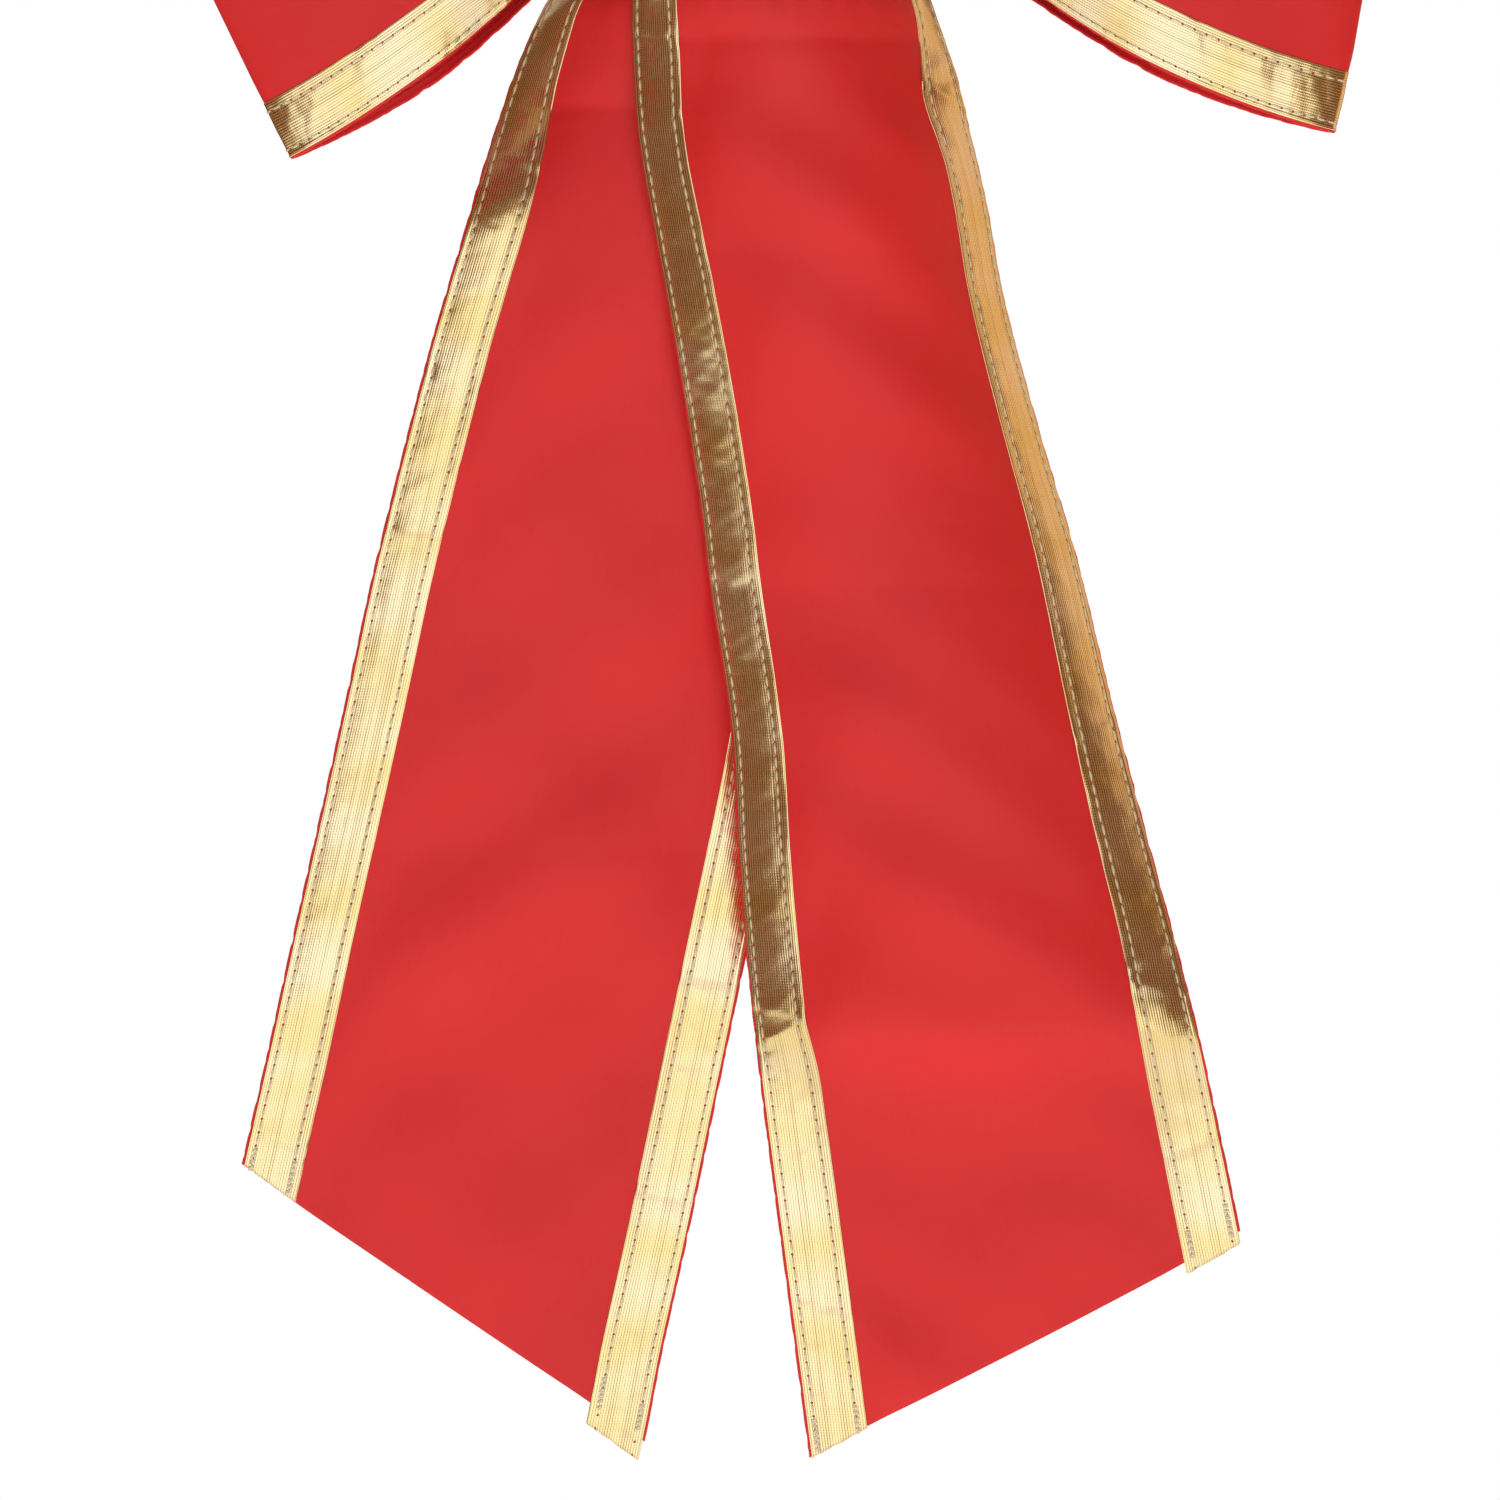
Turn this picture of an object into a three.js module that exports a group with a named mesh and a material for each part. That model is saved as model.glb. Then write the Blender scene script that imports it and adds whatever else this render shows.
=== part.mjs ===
// A large ready-made hanging bow: two loops, two long tails and a wrapped knot, all cut from red cloth
// with gold ribbon sewn along the edges. Millimetres, +Z up. The front faces -Y, the door or wall it hangs
// on is the plane y = 0, and the origin is the middle of the backing patch, on the door.
import * as THREE from "three";
import { mergeVertices } from "three/addons/utils/BufferGeometryUtils.js";

// The cloth strip and what is sewn on it
const STRIP_WIDTH = 149;
const CLOTH = 0.8;
const RIBBON_WIDTH = 20;
const RIBBON = 0.5;
const HEM = 1.5;
const THREAD = 0.4;
const THREAD_WIDTH = 0.6;
const EDGE_ROW = 2.5;
const FIELD_ROW = 3.3;
const GAP = 0.3;
const SEWN_HEIGHT = GAP + RIBBON + GAP + THREAD;

// The backing patch, a folded square of cloth with a top flange that closes over the tails' gathered ends
const PATCH_WIDTH = 56;
const PATCH_BELOW = 26;
const PATCH = 2.4;
const FLANGE_RISE = 3.4;

// The tails. Each edge starts at the gathered top, flares out over a reach, and then leans outwards.
// Shorter is what the slanted cut takes off an edge, overhang is the raw ribbon end past the cut.
const TAIL_LENGTH = 572;
const TAIL_TOP = 14;
const TAIL_CLEARANCE = 0.2;
const TAIL_OFF_WALL = PATCH + CLOTH / 2 + TAIL_CLEARANCE;
const TAIL_LAYER = 4;
const CURL_START = 38;
const CURL_END = 110;
const LEAST_CURL = 0.03;
const LEAD_FADE = 180;
const LEFT_TAIL = {
  left: { gathered: 22, flareShare: 0.48, reach: 95, lean: 0.21, shorter: 98, overhang: 0 },
  right: { gathered: 22, flareShare: 0.52, reach: 64, lean: -0.21, shorter: 5, overhang: 7 },
  topDepth: 0,
  settle: 20,
  curl: 0.5,
  lead: 0,
  leadAtKnot: 0,
};
const RIGHT_TAIL = {
  left: { gathered: 24, flareShare: 0.7, reach: 25, lean: -0.1224, shorter: 0, overhang: 0 },
  right: { gathered: 24, flareShare: 0.3, reach: 30, lean: 0.245, shorter: 76, overhang: 4 },
  topDepth: 3 * TAIL_LAYER,
  settle: 75,
  curl: 0.9,
  lead: 9,
  leadAtKnot: 20,
};

// The wrapped knot, set forward of the tails' gathered tops
const KNOT_WIDTH = 58;
const KNOT_HEIGHT = 72;
const KNOT_DEPTH = 34;
const BAND = 1.2;
const BAND_SQUARENESS = 2.6;
const BAND_CLEARANCE = 1.5;
const TAILS_BEHIND_KNOT = TAIL_OFF_WALL + RIGHT_TAIL.topDepth + CLOTH / 2 + SEWN_HEIGHT + BAND_CLEARANCE;
const KNOT_CENTRE_Y = -(TAILS_BEHIND_KNOT + SEWN_HEIGHT + BAND / 2 + KNOT_DEPTH / 2);
const CORE_HALF_WIDTH = 13;
const CORE_HEIGHT = 30;
const CORE_DEPTH = 20;
const CORE_WAIST = 0.55;
const TIE_WIDTH = 4.8;
const TIE = 1.4;
const CORE_WAIST_HALF = 0.25;
const TIE_HEAD = { width: 7, depth: 5.6, height: 4.2 };

// The loops. Each edge leaves the core, squeezes through the band's mouth and bows outwards on the way
// to its corner of the fold. The fold is one strip wide and leans outwards by its angle. The gap beside
// the core lets a loop tilt.
const LOOP_START_GAP = 2.2;
const LOOP_DEPTH = 45;
const LOOP_START_DEPTH = 9;
const LOOP_SWELLING_POWER = 1.2;
const LOOP_SET_FORWARD = 6;
const BACK_LAYER_DROP = 7;
const EDGE_ROUNDING = 0.6;
const MOUTH_CLEARANCE = { height: 5, depth: 1 };
const MOUTH_MARGIN = 10;
const MOUTH_FLARE = 1.8;
const SQUEEZE_POWER = 6;
const LEFT_LOOP = { side: -1, span: 156, drop: 126, foldAngle: 26.2, lowerBow: 8.5, upperBow: 18 };
const RIGHT_LOOP = { side: 1, span: 190, drop: 117, foldAngle: 12.5, lowerBow: 15, upperBow: 18 };

// How finely the cloth is cut into facets
const TAIL_ROWS = 14;
const TAIL_ROW_BIAS = 1.4;
const LOOP_ROWS = 26;
const BAND_STEPS = 24;
const CORE_STEPS = 8;
const CORE_SIDES = 20;
const TIE_CURVE_STEPS = 10;
const NORMAL_STEP = 1e-3;
const MERGE_DISTANCE = 1e-4;

const clothRed = new THREE.MeshStandardMaterial({ color: 0xc8242b, roughness: 0.62 });
const ribbonGold = new THREE.MeshStandardMaterial({ color: 0xd8b45a, roughness: 0.3, metalness: 0.9 });
const threadGold = new THREE.MeshStandardMaterial({ color: 0xd9ab4e, roughness: 0.5 });
const tieWhite = new THREE.MeshStandardMaterial({ color: 0xe9e6df, roughness: 0.45 });

const bow = new THREE.Group();

function addPiece(name, geometry, material) {
  const mesh = new THREE.Mesh(geometry, material);
  mesh.name = name;
  bow.add(mesh);
}

const lerp = THREE.MathUtils.lerp;
const smoothstep = THREE.MathUtils.smoothstep;

// The outward normal of a surface at(across, along) by small steps; side turns it for a mirrored surface.
function normalOf(at, across, along, side) {
  const acrossWay = at(across + NORMAL_STEP, along).sub(at(across - NORMAL_STEP, along));
  const alongWay = at(across, along + NORMAL_STEP).sub(at(across, along - NORMAL_STEP));
  return alongWay.cross(acrossWay).normalize().multiplyScalar(side);
}

// A closed sheet over a grid of a surface, between two distances along its outward normal.
// A closed ring joins its last row to its first.
function sheet(at, columns, rows, inner, outer, side = 1, ring = false) {
  const points = [];
  for (const distance of [inner, outer])
    for (const along of rows)
      for (const across of columns) {
        const normal = normalOf(at, across, along, side);
        points.push(...at(across, along).addScaledVector(normal, distance).toArray());
      }
  const wide = columns.length;
  const layer = wide * rows.length;
  const faces = [];
  const quad = (a, b, c, d) => faces.push(...(side > 0 ? [a, b, c, a, c, d] : [a, c, b, a, d, c]));
  const lastRow = ring ? rows.length : rows.length - 1;
  for (let row = 0; row < lastRow; row++) {
    const here = row * wide;
    const next = ((row + 1) % rows.length) * wide;
    for (let column = 0; column + 1 < wide; column++) {
      const corner = [here + column, here + column + 1, next + column + 1, next + column];
      quad(corner[0], corner[1], corner[2], corner[3]);
      quad(layer + corner[0], layer + corner[3], layer + corner[2], layer + corner[1]);
    }
    quad(here, next, layer + next, layer + here);
    const edge = wide - 1;
    quad(here + edge, layer + here + edge, layer + next + edge, next + edge);
  }
  if (!ring)
    for (let column = 0; column + 1 < wide; column++) {
      const end = (rows.length - 1) * wide + column;
      quad(column, layer + column, layer + column + 1, column + 1);
      quad(end, end + 1, layer + end + 1, layer + end);
    }
  const geometry = new THREE.BufferGeometry();
  geometry.setAttribute("position", new THREE.Float32BufferAttribute(points, 3));
  geometry.setIndex(faces);
  return mergeVertices(geometry, MERGE_DISTANCE);
}

// Where the ribbon and its two stitch rows lie, measured in from a strip's edge
const RIBBON_COLUMNS = [HEM, HEM + EDGE_ROW, HEM + RIBBON_WIDTH - FIELD_ROW, HEM + RIBBON_WIDTH];
const STITCH_ROWS = { edge: RIBBON_COLUMNS[1], field: RIBBON_COLUMNS[2] };
const fromFarEdge = (columns, width) => columns.map((place) => width - place).reverse();
const middleColumns = [0.25, 0.5, 0.75].map((share) =>
  lerp(RIBBON_COLUMNS[3], STRIP_WIDTH - RIBBON_COLUMNS[3], share),
);
const STRIP_COLUMNS = [
  0,
  ...RIBBON_COLUMNS,
  ...middleColumns,
  ...fromFarEdge(RIBBON_COLUMNS, STRIP_WIDTH),
  STRIP_WIDTH,
];

// A gold ribbon along one edge of a strip, or of a ring, with its two rows of thread. The strip has a
// surface at, rows, width, thickness, side and ring; farEdge picks the edge where across is largest.
function addRibbon(name, strip, farEdge) {
  const { at, rows, width, thickness, side, ring } = strip;
  const columns = farEdge ? fromFarEdge(RIBBON_COLUMNS, width) : RIBBON_COLUMNS;
  const inside = thickness / 2 + GAP;
  const outside = inside + RIBBON;
  const onRibbon = outside + GAP;
  addPiece(name + "_ribbon", sheet(at, columns, rows, inside, outside, side, ring), ribbonGold);
  for (const [row, place] of Object.entries(STITCH_ROWS)) {
    const middle = farEdge ? width - place : place;
    const strand = [middle - THREAD_WIDTH / 2, middle + THREAD_WIDTH / 2];
    const stitching = sheet(at, strand, rows, onRibbon, onRibbon + THREAD, side, ring);
    addPiece(name + "_" + row + "_stitching", stitching, threadGold);
  }
}

// Half the angle of an arc whose chord is this share of its length, from the first terms of sin(a) / a
function arcHalfAngle(share) {
  return Math.sqrt(Math.max(0, 10 - Math.sqrt(100 - 120 * (1 - Math.min(1, share)))));
}

// How much wider than its gathered top a tail gets by flaring, so that it hangs flat at its shorter edge
function tailFlare(tail) {
  const lean = (tail.right.lean - tail.left.lean) / 2;
  const flatWidth = STRIP_WIDTH / Math.cos(Math.atan(lean));
  const flatFrom = TAIL_LENGTH - Math.max(tail.left.shorter, tail.right.shorter);
  return flatWidth - tail.left.gathered - tail.right.gathered - (tail.left.lean + tail.right.lean) * flatFrom;
}

// How far a tail's edge stands out from the middle at a distance below the tail's top
function edgeReach(edge, flare, below) {
  return edge.gathered + edge.flareShare * flare * (1 - Math.exp(-below / edge.reach)) + edge.lean * below;
}

// A point on a tail. Each level row is an arc bowed towards the viewer over a chord between the two edges;
// the chord's slack against the strip's width sets the curl, which starts below the knot.
function tailPoint(tail, across, along) {
  const share = across / STRIP_WIDTH;
  const below = along * (TAIL_LENGTH - lerp(tail.left.shorter, tail.right.shorter, share));
  const flare = tailFlare(tail);
  const leftX = -edgeReach(tail.left, flare, below);
  const rightX = edgeReach(tail.right, flare, below);
  const opened = smoothstep(below, CURL_START, CURL_END);
  const rightY = -TAIL_OFF_WALL - tail.topDepth * Math.exp(-below / tail.settle);
  const lead = tail.lead + tail.leadAtKnot * Math.exp(-(below - CURL_START) / LEAD_FADE);
  const leftY = rightY - opened * lead;
  const tilt = Math.cos(Math.atan((tail.right.lean - tail.left.lean) / 2));
  const slack = ((rightX - leftX) * tilt) / STRIP_WIDTH;
  const curl = Math.max(LEAST_CURL, tail.curl * opened * arcHalfAngle(slack));
  const turn = curl * (2 * share - 1);
  const alongChord = (Math.sin(turn) / Math.sin(curl) + 1) / 2;
  const chord = new THREE.Vector3(rightX - leftX, rightY - leftY, 0);
  const outwards = new THREE.Vector3(chord.y, -chord.x, 0).normalize();
  const bulge = (chord.length() * (Math.cos(turn) - Math.cos(curl))) / (2 * Math.sin(curl));
  return new THREE.Vector3(leftX, leftY, TAIL_TOP - below)
    .addScaledVector(chord, alongChord)
    .addScaledVector(outwards, bulge);
}

function tailRows(overhang) {
  const rows = [];
  for (let row = 0; row <= TAIL_ROWS; row++) rows.push((row / TAIL_ROWS) ** TAIL_ROW_BIAS);
  rows[TAIL_ROWS] += overhang;
  return rows;
}

function addTail(name, tail, leftRibbon, rightRibbon) {
  const at = (across, along) => tailPoint(tail, across, along);
  addPiece(name + "_cloth", sheet(at, STRIP_COLUMNS, tailRows(0), -CLOTH / 2, CLOTH / 2), clothRed);
  const strip = { at, width: STRIP_WIDTH, thickness: CLOTH, side: 1, ring: false };
  const leftRows = tailRows(tail.left.overhang / (TAIL_LENGTH - tail.left.shorter));
  const rightRows = tailRows(tail.right.overhang / (TAIL_LENGTH - tail.right.shorter));
  addRibbon(name + "_" + leftRibbon, { ...strip, rows: leftRows }, false);
  addRibbon(name + "_" + rightRibbon, { ...strip, rows: rightRows }, true);
}

addTail("left_tail", LEFT_TAIL, "outer", "inner");
addTail("right_tail", RIGHT_TAIL, "inner", "outer");

// The room inside the band's mouth for the middle of a loop's cloth
const MOUTH_HEIGHT = KNOT_HEIGHT / 2 - BAND / 2 - MOUTH_CLEARANCE.height;
const MOUTH_DEPTH = KNOT_DEPTH / 2 - BAND / 2 - SEWN_HEIGHT - CLOTH / 2 - MOUTH_CLEARANCE.depth;

// A height or depth squeezed smoothly under the room at the mouth, which opens up past the band
function squeezed(size, room, outwards) {
  const limit = room + MOUTH_FLARE * Math.max(0, outwards - KNOT_WIDTH / 2 - MOUTH_MARGIN);
  return size / (1 + Math.abs(size / limit) ** SQUEEZE_POWER) ** (1 / SQUEEZE_POWER);
}

// A point on a loop. The path leaves the core at the front, goes out to the round fold and comes back
// behind: reach is the sine of its angle, and its depth is the cosine times a teardrop's swelling.
// Across, the strip runs from the lower edge to the upper one, and near the knot it is rounded.
function loopPoint(loop, across, along) {
  const share = across / STRIP_WIDTH;
  const angle = along * Math.PI;
  const reach = Math.sin(angle);
  const towardsBack = (1 - Math.cos(angle)) / 2;
  const bowed = 4 * reach * (1 - reach);
  const startX = CORE_HALF_WIDTH + LOOP_START_GAP;
  const fold = THREE.MathUtils.degToRad(loop.foldAngle);
  const lowerX = lerp(startX, loop.span, reach);
  const upperX = lerp(startX, loop.span + STRIP_WIDTH * Math.sin(fold), reach);
  const lowerBow = loop.lowerBow * bowed + BACK_LAYER_DROP * towardsBack * bowed;
  const lowerZ = lerp(-CORE_HEIGHT / 2, -loop.drop, reach) - lowerBow;
  const upperCorner = STRIP_WIDTH * Math.cos(fold) - loop.drop;
  const upperZ = lerp(CORE_HEIGHT / 2, upperCorner, reach) + loop.upperBow * bowed;
  const x = lerp(lowerX, upperX, share);
  const z = lerp(squeezed(lowerZ, MOUTH_HEIGHT, lowerX), squeezed(upperZ, MOUTH_HEIGHT, upperX), share);
  const swelling = LOOP_START_DEPTH + LOOP_DEPTH * Math.max(0, reach) ** LOOP_SWELLING_POWER;
  const rounding = 1 - EDGE_ROUNDING * (1 - reach) * (2 * share - 1) ** 2;
  const middleY = KNOT_CENTRE_Y - LOOP_SET_FORWARD * Math.sin(Math.PI * reach);
  const depth = squeezed(swelling * rounding, MOUTH_DEPTH, x);
  return new THREE.Vector3(loop.side * x, middleY - Math.cos(angle) * depth, z);
}

function addLoop(name, loop) {
  const at = (across, along) => loopPoint(loop, across, along);
  const rows = [];
  for (let row = 0; row <= LOOP_ROWS; row++) rows.push(row / LOOP_ROWS);
  addPiece(name + "_cloth", sheet(at, STRIP_COLUMNS, rows, -CLOTH / 2, CLOTH / 2, loop.side), clothRed);
  const strip = { at, rows, width: STRIP_WIDTH, thickness: CLOTH, side: loop.side, ring: false };
  addRibbon(name + "_lower", strip, false);
  addRibbon(name + "_upper", strip, true);
}

addLoop("left_loop", LEFT_LOOP);
addLoop("right_loop", RIGHT_LOOP);

// The knot band's middle surface: a squarish ring round the X axis, measured across from its left edge.
function bandPoint(across, along) {
  const angle = along * 2 * Math.PI;
  const rounded = (value) => Math.sign(value) * Math.abs(value) ** (2 / BAND_SQUARENESS);
  return new THREE.Vector3(
    across - KNOT_WIDTH / 2,
    KNOT_CENTRE_Y - (KNOT_DEPTH / 2) * rounded(Math.cos(angle)),
    (KNOT_HEIGHT / 2) * rounded(Math.sin(angle)),
  );
}

function addKnot() {
  const rows = [];
  for (let row = 0; row < BAND_STEPS; row++) rows.push((row + 0.5) / BAND_STEPS);
  const columns = [0, ...RIBBON_COLUMNS, ...fromFarEdge(RIBBON_COLUMNS, KNOT_WIDTH), KNOT_WIDTH];
  addPiece("knot_band", sheet(bandPoint, columns, rows, -BAND / 2, BAND / 2, -1, true), clothRed);
  const strip = { at: bandPoint, rows, width: KNOT_WIDTH, thickness: BAND, side: -1, ring: true };
  addRibbon("knot_left", strip, false);
  addRibbon("knot_right", strip, true);
}

addKnot();

// The pinched core: the gathered middle of the loops' strip, an oval bundle with a waist for the tie
function addCore() {
  const waist = (share) => lerp(CORE_WAIST, 1, smoothstep(Math.abs(share), CORE_WAIST_HALF, 1));
  const profile = [new THREE.Vector2(0, -CORE_HALF_WIDTH)];
  for (let step = 0; step <= CORE_STEPS; step++) {
    const share = (2 * step) / CORE_STEPS - 1;
    profile.push(new THREE.Vector2(waist(share), CORE_HALF_WIDTH * share));
  }
  profile.push(new THREE.Vector2(0, CORE_HALF_WIDTH));
  const bundle = new THREE.LatheGeometry(profile, CORE_SIDES);
  bundle.rotateZ(-Math.PI / 2);
  bundle.scale(1, CORE_HEIGHT / 2, CORE_DEPTH / 2);
  bundle.rotateX(Math.PI / 2);
  bundle.translate(0, KNOT_CENTRE_Y, 0);
  addPiece("gathered_core", bundle, clothRed);
}

addCore();

// The cinch tie: a flat strap pulled tight round the core's waist, with its locking head at the top
function addTie() {
  const across = (CORE_DEPTH / 2) * CORE_WAIST + GAP;
  const up = (CORE_HEIGHT / 2) * CORE_WAIST + GAP;
  const outline = new THREE.Shape();
  outline.absellipse(0, 0, across + TIE, up + TIE, 0, Math.PI * 2);
  const hole = new THREE.Path();
  hole.absellipse(0, 0, across, up, 0, Math.PI * 2);
  outline.holes.push(hole);
  const cut = { depth: TIE_WIDTH, bevelEnabled: false, curveSegments: TIE_CURVE_STEPS };
  const strap = new THREE.ExtrudeGeometry(outline, cut);
  strap.translate(0, 0, -TIE_WIDTH / 2);
  strap.rotateY(Math.PI / 2);
  strap.rotateX(Math.PI / 2);
  strap.translate(0, KNOT_CENTRE_Y, 0);
  addPiece("cinch_tie", strap, tieWhite);
  const head = new THREE.BoxGeometry(TIE_HEAD.width, TIE_HEAD.depth, TIE_HEAD.height);
  head.translate(0, KNOT_CENTRE_Y, up + TIE + GAP + TIE_HEAD.height / 2);
  addPiece("cinch_tie_head", head, tieWhite);
}

addTie();

// The backing patch: flat on the door, with a flange above the tails that reaches forward to the band
function addPatch() {
  const bandBack = KNOT_CENTRE_Y + KNOT_DEPTH / 2 + BAND / 2 + SEWN_HEIGHT + GAP;
  const flangeBottom = TAIL_TOP + FLANGE_RISE;
  const outline = new THREE.Shape();
  outline.moveTo(0, -PATCH_BELOW);
  outline.lineTo(0, flangeBottom + PATCH);
  outline.lineTo(bandBack, flangeBottom + PATCH);
  outline.lineTo(bandBack, flangeBottom);
  outline.lineTo(-PATCH, flangeBottom);
  outline.lineTo(-PATCH, -PATCH_BELOW);
  outline.closePath();
  const patch = new THREE.ExtrudeGeometry(outline, { depth: PATCH_WIDTH, bevelEnabled: false });
  patch.rotateY(Math.PI / 2);
  patch.rotateX(Math.PI / 2);
  patch.translate(-PATCH_WIDTH / 2, 0, 0);
  addPiece("backing_patch", patch, clothRed);
}

addPatch();

export default bow;
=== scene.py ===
"""The cloth, trims, stitches, finishes and stage of a large hanging gift bow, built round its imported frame.

Metres in Blender and millimetres in the shape formulas. The front of the bow faces -Y and +Z is up.
"""

import math

import bpy
import numpy as np
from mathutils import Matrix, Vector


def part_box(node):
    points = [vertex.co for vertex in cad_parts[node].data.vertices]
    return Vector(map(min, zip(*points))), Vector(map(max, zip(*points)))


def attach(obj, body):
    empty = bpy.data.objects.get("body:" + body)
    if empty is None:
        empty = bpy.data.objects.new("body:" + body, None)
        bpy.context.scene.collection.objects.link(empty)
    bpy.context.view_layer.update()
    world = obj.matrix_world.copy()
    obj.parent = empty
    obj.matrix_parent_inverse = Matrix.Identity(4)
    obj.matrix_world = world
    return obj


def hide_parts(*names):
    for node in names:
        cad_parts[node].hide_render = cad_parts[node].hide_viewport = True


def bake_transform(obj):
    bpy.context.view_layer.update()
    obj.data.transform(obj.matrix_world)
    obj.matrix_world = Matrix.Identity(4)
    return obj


bl_info = {
    "name": "Hanging Gift Bow",
    "version": (1, 0, 0),
    "blender": (4, 5, 0),
    "location": "3D View > Sidebar > Gift Bow",
    "description": "Builds a large red bow with sewn gold ribbon round its frame",
    "category": "Add Mesh",
}

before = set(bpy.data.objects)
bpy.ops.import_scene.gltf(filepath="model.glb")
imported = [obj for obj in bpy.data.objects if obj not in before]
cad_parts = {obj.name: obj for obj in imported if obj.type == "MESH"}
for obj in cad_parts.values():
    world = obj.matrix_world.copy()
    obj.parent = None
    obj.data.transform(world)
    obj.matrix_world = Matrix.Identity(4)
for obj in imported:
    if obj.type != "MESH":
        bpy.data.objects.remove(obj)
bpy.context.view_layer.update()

MM = 0.001

# The strip and what is sewn on it, in millimetres. The hem is narrower than the frame's, and the rows
# are measured in from a ribbon's outer edge.
STRIP_WIDTH = 149.0
RIBBON_WIDTH = 20.0
HEM = 0.9
EDGE_ROW = 2.5
FIELD_ROW = 16.7

# The tails. Their layer and the way that they settle are the visible cloth's own.
TAIL_LENGTH = 572.0
TAIL_TOP = 14.0
TAIL_OFF_WALL = 3.4
TAIL_LAYER = 7.0
LAYER_SETTLES = 75.0
LEAD_FROM, LEAD_TO = 38.0, 110.0
LEAD_FADE = 180.0

# The knot, as on the frame, and the loops, which share its outline and are flatter at their fold
KNOT_WIDTH = 58.0
KNOT_HEIGHT = 72.0
KNOT_DEPTH = 34.0
BAND_SQUARENESS = 2.6
KNOT_CENTRE_Y = -37.5
CORE_HALF_WIDTH = 13.0
CORE_HEIGHT = 30.0
CORE_DEPTH = 20.0
LOOP_START = 15.2
LOOP_BELLY = 13.0
BELLY_SKEW = 0.72
LOOP_START_DEPTH = 9.0
LOOP_SET_FORWARD = 4.0
FOLD_SHARPNESS = 12
TRIM_CURL = 0.6
EDGE_ROUNDING = 0.6
MOUTH_HEIGHT = 30.4
MOUTH_DEPTH = 13.5
MOUTH_MARGIN = 10.0
MOUTH_FLARE = 1.8
SQUEEZE_POWER = 6.0
LOOPS = {
    "left": dict(side=-1, span=156.0, drop=126.0, fold=26.2, lower_bow=8.5, upper_bow=18.0, back_drop=6.5),
    "right": dict(side=1, span=190.0, drop=117.0, fold=12.5, lower_bow=15.0, upper_bow=18.0, back_drop=2.5),
}

# How each tail hangs, as readings of one real bow. Level is the height below its gathered top. Trim lines
# are where the outer edges of its two ribbons run, and turns are how far those ribbons face away from the
# front, in degrees.
TAILS = {
    "left": dict(
        shorter=(98.0, 5.0),
        overhang=(0.0, 7.0),
        trims=("outer", "inner"),
        layer=0.0,
        lead=(0.0, 0.0),
        spread=1.9,
        left_levels=(0, 40, 60, 86, 99, 112, 126, 139, 159, 199, 239, 279, 319, 359, 399, 439, 459, 490, 600),
        left_trim=(-22, -30, -54, -72.3, -78, -83.3, -87.7, -91.7, -97.3, -109.3, -119.7, -129.7, -138.3,
                   -147.3, -156.3, -165, -169.7, -176.6, -201),
        right_levels=(0, 40, 60, 86, 120, 159, 239, 339, 359, 399, 439, 499, 539, 559, 600),
        right_trim=(22, 27, 38, 46, 45, 38, 23, 7.3, 3.3, -5, -13.3, -25.7, -34.7, -38.3, -47.2),
        turn_levels=(0, 36, 60, 86, 99, 112, 126, 139, 159, 239, 319, 399, 459, 600),
        left_turn=(0, 4, 45, 64, 54, 48, 38, 26, 16, 14, 13, 12, 4, 2),
        right_turn=(0, 4, 30, 46, 44, 42, 40, 38, 36, 30, 18, 9, 5, 3),
    ),
    "right": dict(
        shorter=(0.0, 76.0),
        overhang=(0.6, 4.0),
        trims=("inner", "outer"),
        layer=TAIL_LAYER,
        lead=(9.0, 20.0),
        spread=1.15,
        left_levels=(0, 40, 60, 86, 112, 126, 139, 159, 179, 199, 219, 239, 259, 279, 299, 319, 339, 359,
                     379, 399, 419, 439, 459, 499, 559, 600),
        left_trim=(-24, -32, -40, -43, -42.3, -41.3, -39.7, -36, -32.3, -28.7, -25.3, -22.3, -19.3, -17.3,
                   -14, -10.7, -8.6, -8, -6.7, -5, -3, -0.7, 1.7, 7, 14.9, 20.4),
        right_levels=(0, 40, 60, 86, 92, 99, 106, 112, 126, 139, 159, 179, 199, 219, 239, 259, 279, 319,
                      359, 399, 439, 479, 499, 600),
        right_trim=(24, 32, 47, 56, 58, 60.3, 63.3, 65, 67.7, 71.3, 75.7, 78.7, 83.7, 89.3, 95, 101.3,
                    106.7, 116, 126.3, 137, 146.7, 155.3, 159.2, 181),
        turn_levels=(0, 36, 60, 86, 99, 112, 119, 132, 139, 179, 239, 279, 319, 359, 399, 429, 445, 479, 600),
        left_turn=(0, 4, 46, 53, 47, 47, 48, 49, 49, 44, 40, 39, 41, 38, 36, 36, 15, 6, 3),
        right_turn=(0, 4, 62, 82, 74, 60, 55, 62, 65, 63, 58, 53, 47, 39, 33, 20, 11, 3, 1),
    ),
}
EDGE_SMOOTHING = 7.0
TURN_SMOOTHING = 5.0
FIELD_SMOOTHING = 15.0
TAILS_APART = 3.2
PLEATED_TO, PLEATS_GONE = 44.0, 98.0
OPENING_FROM, OPENING_TO = 30.0, 72.0
STEEPEST_PLEAT = 2.35

# How finely the surfaces and the cloths on them are divided
SURFACE_COLUMNS = 373
LOOP_LEVELS = 521
STRIP_COLUMNS = 112
STRIP_ROWS = 321

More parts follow.
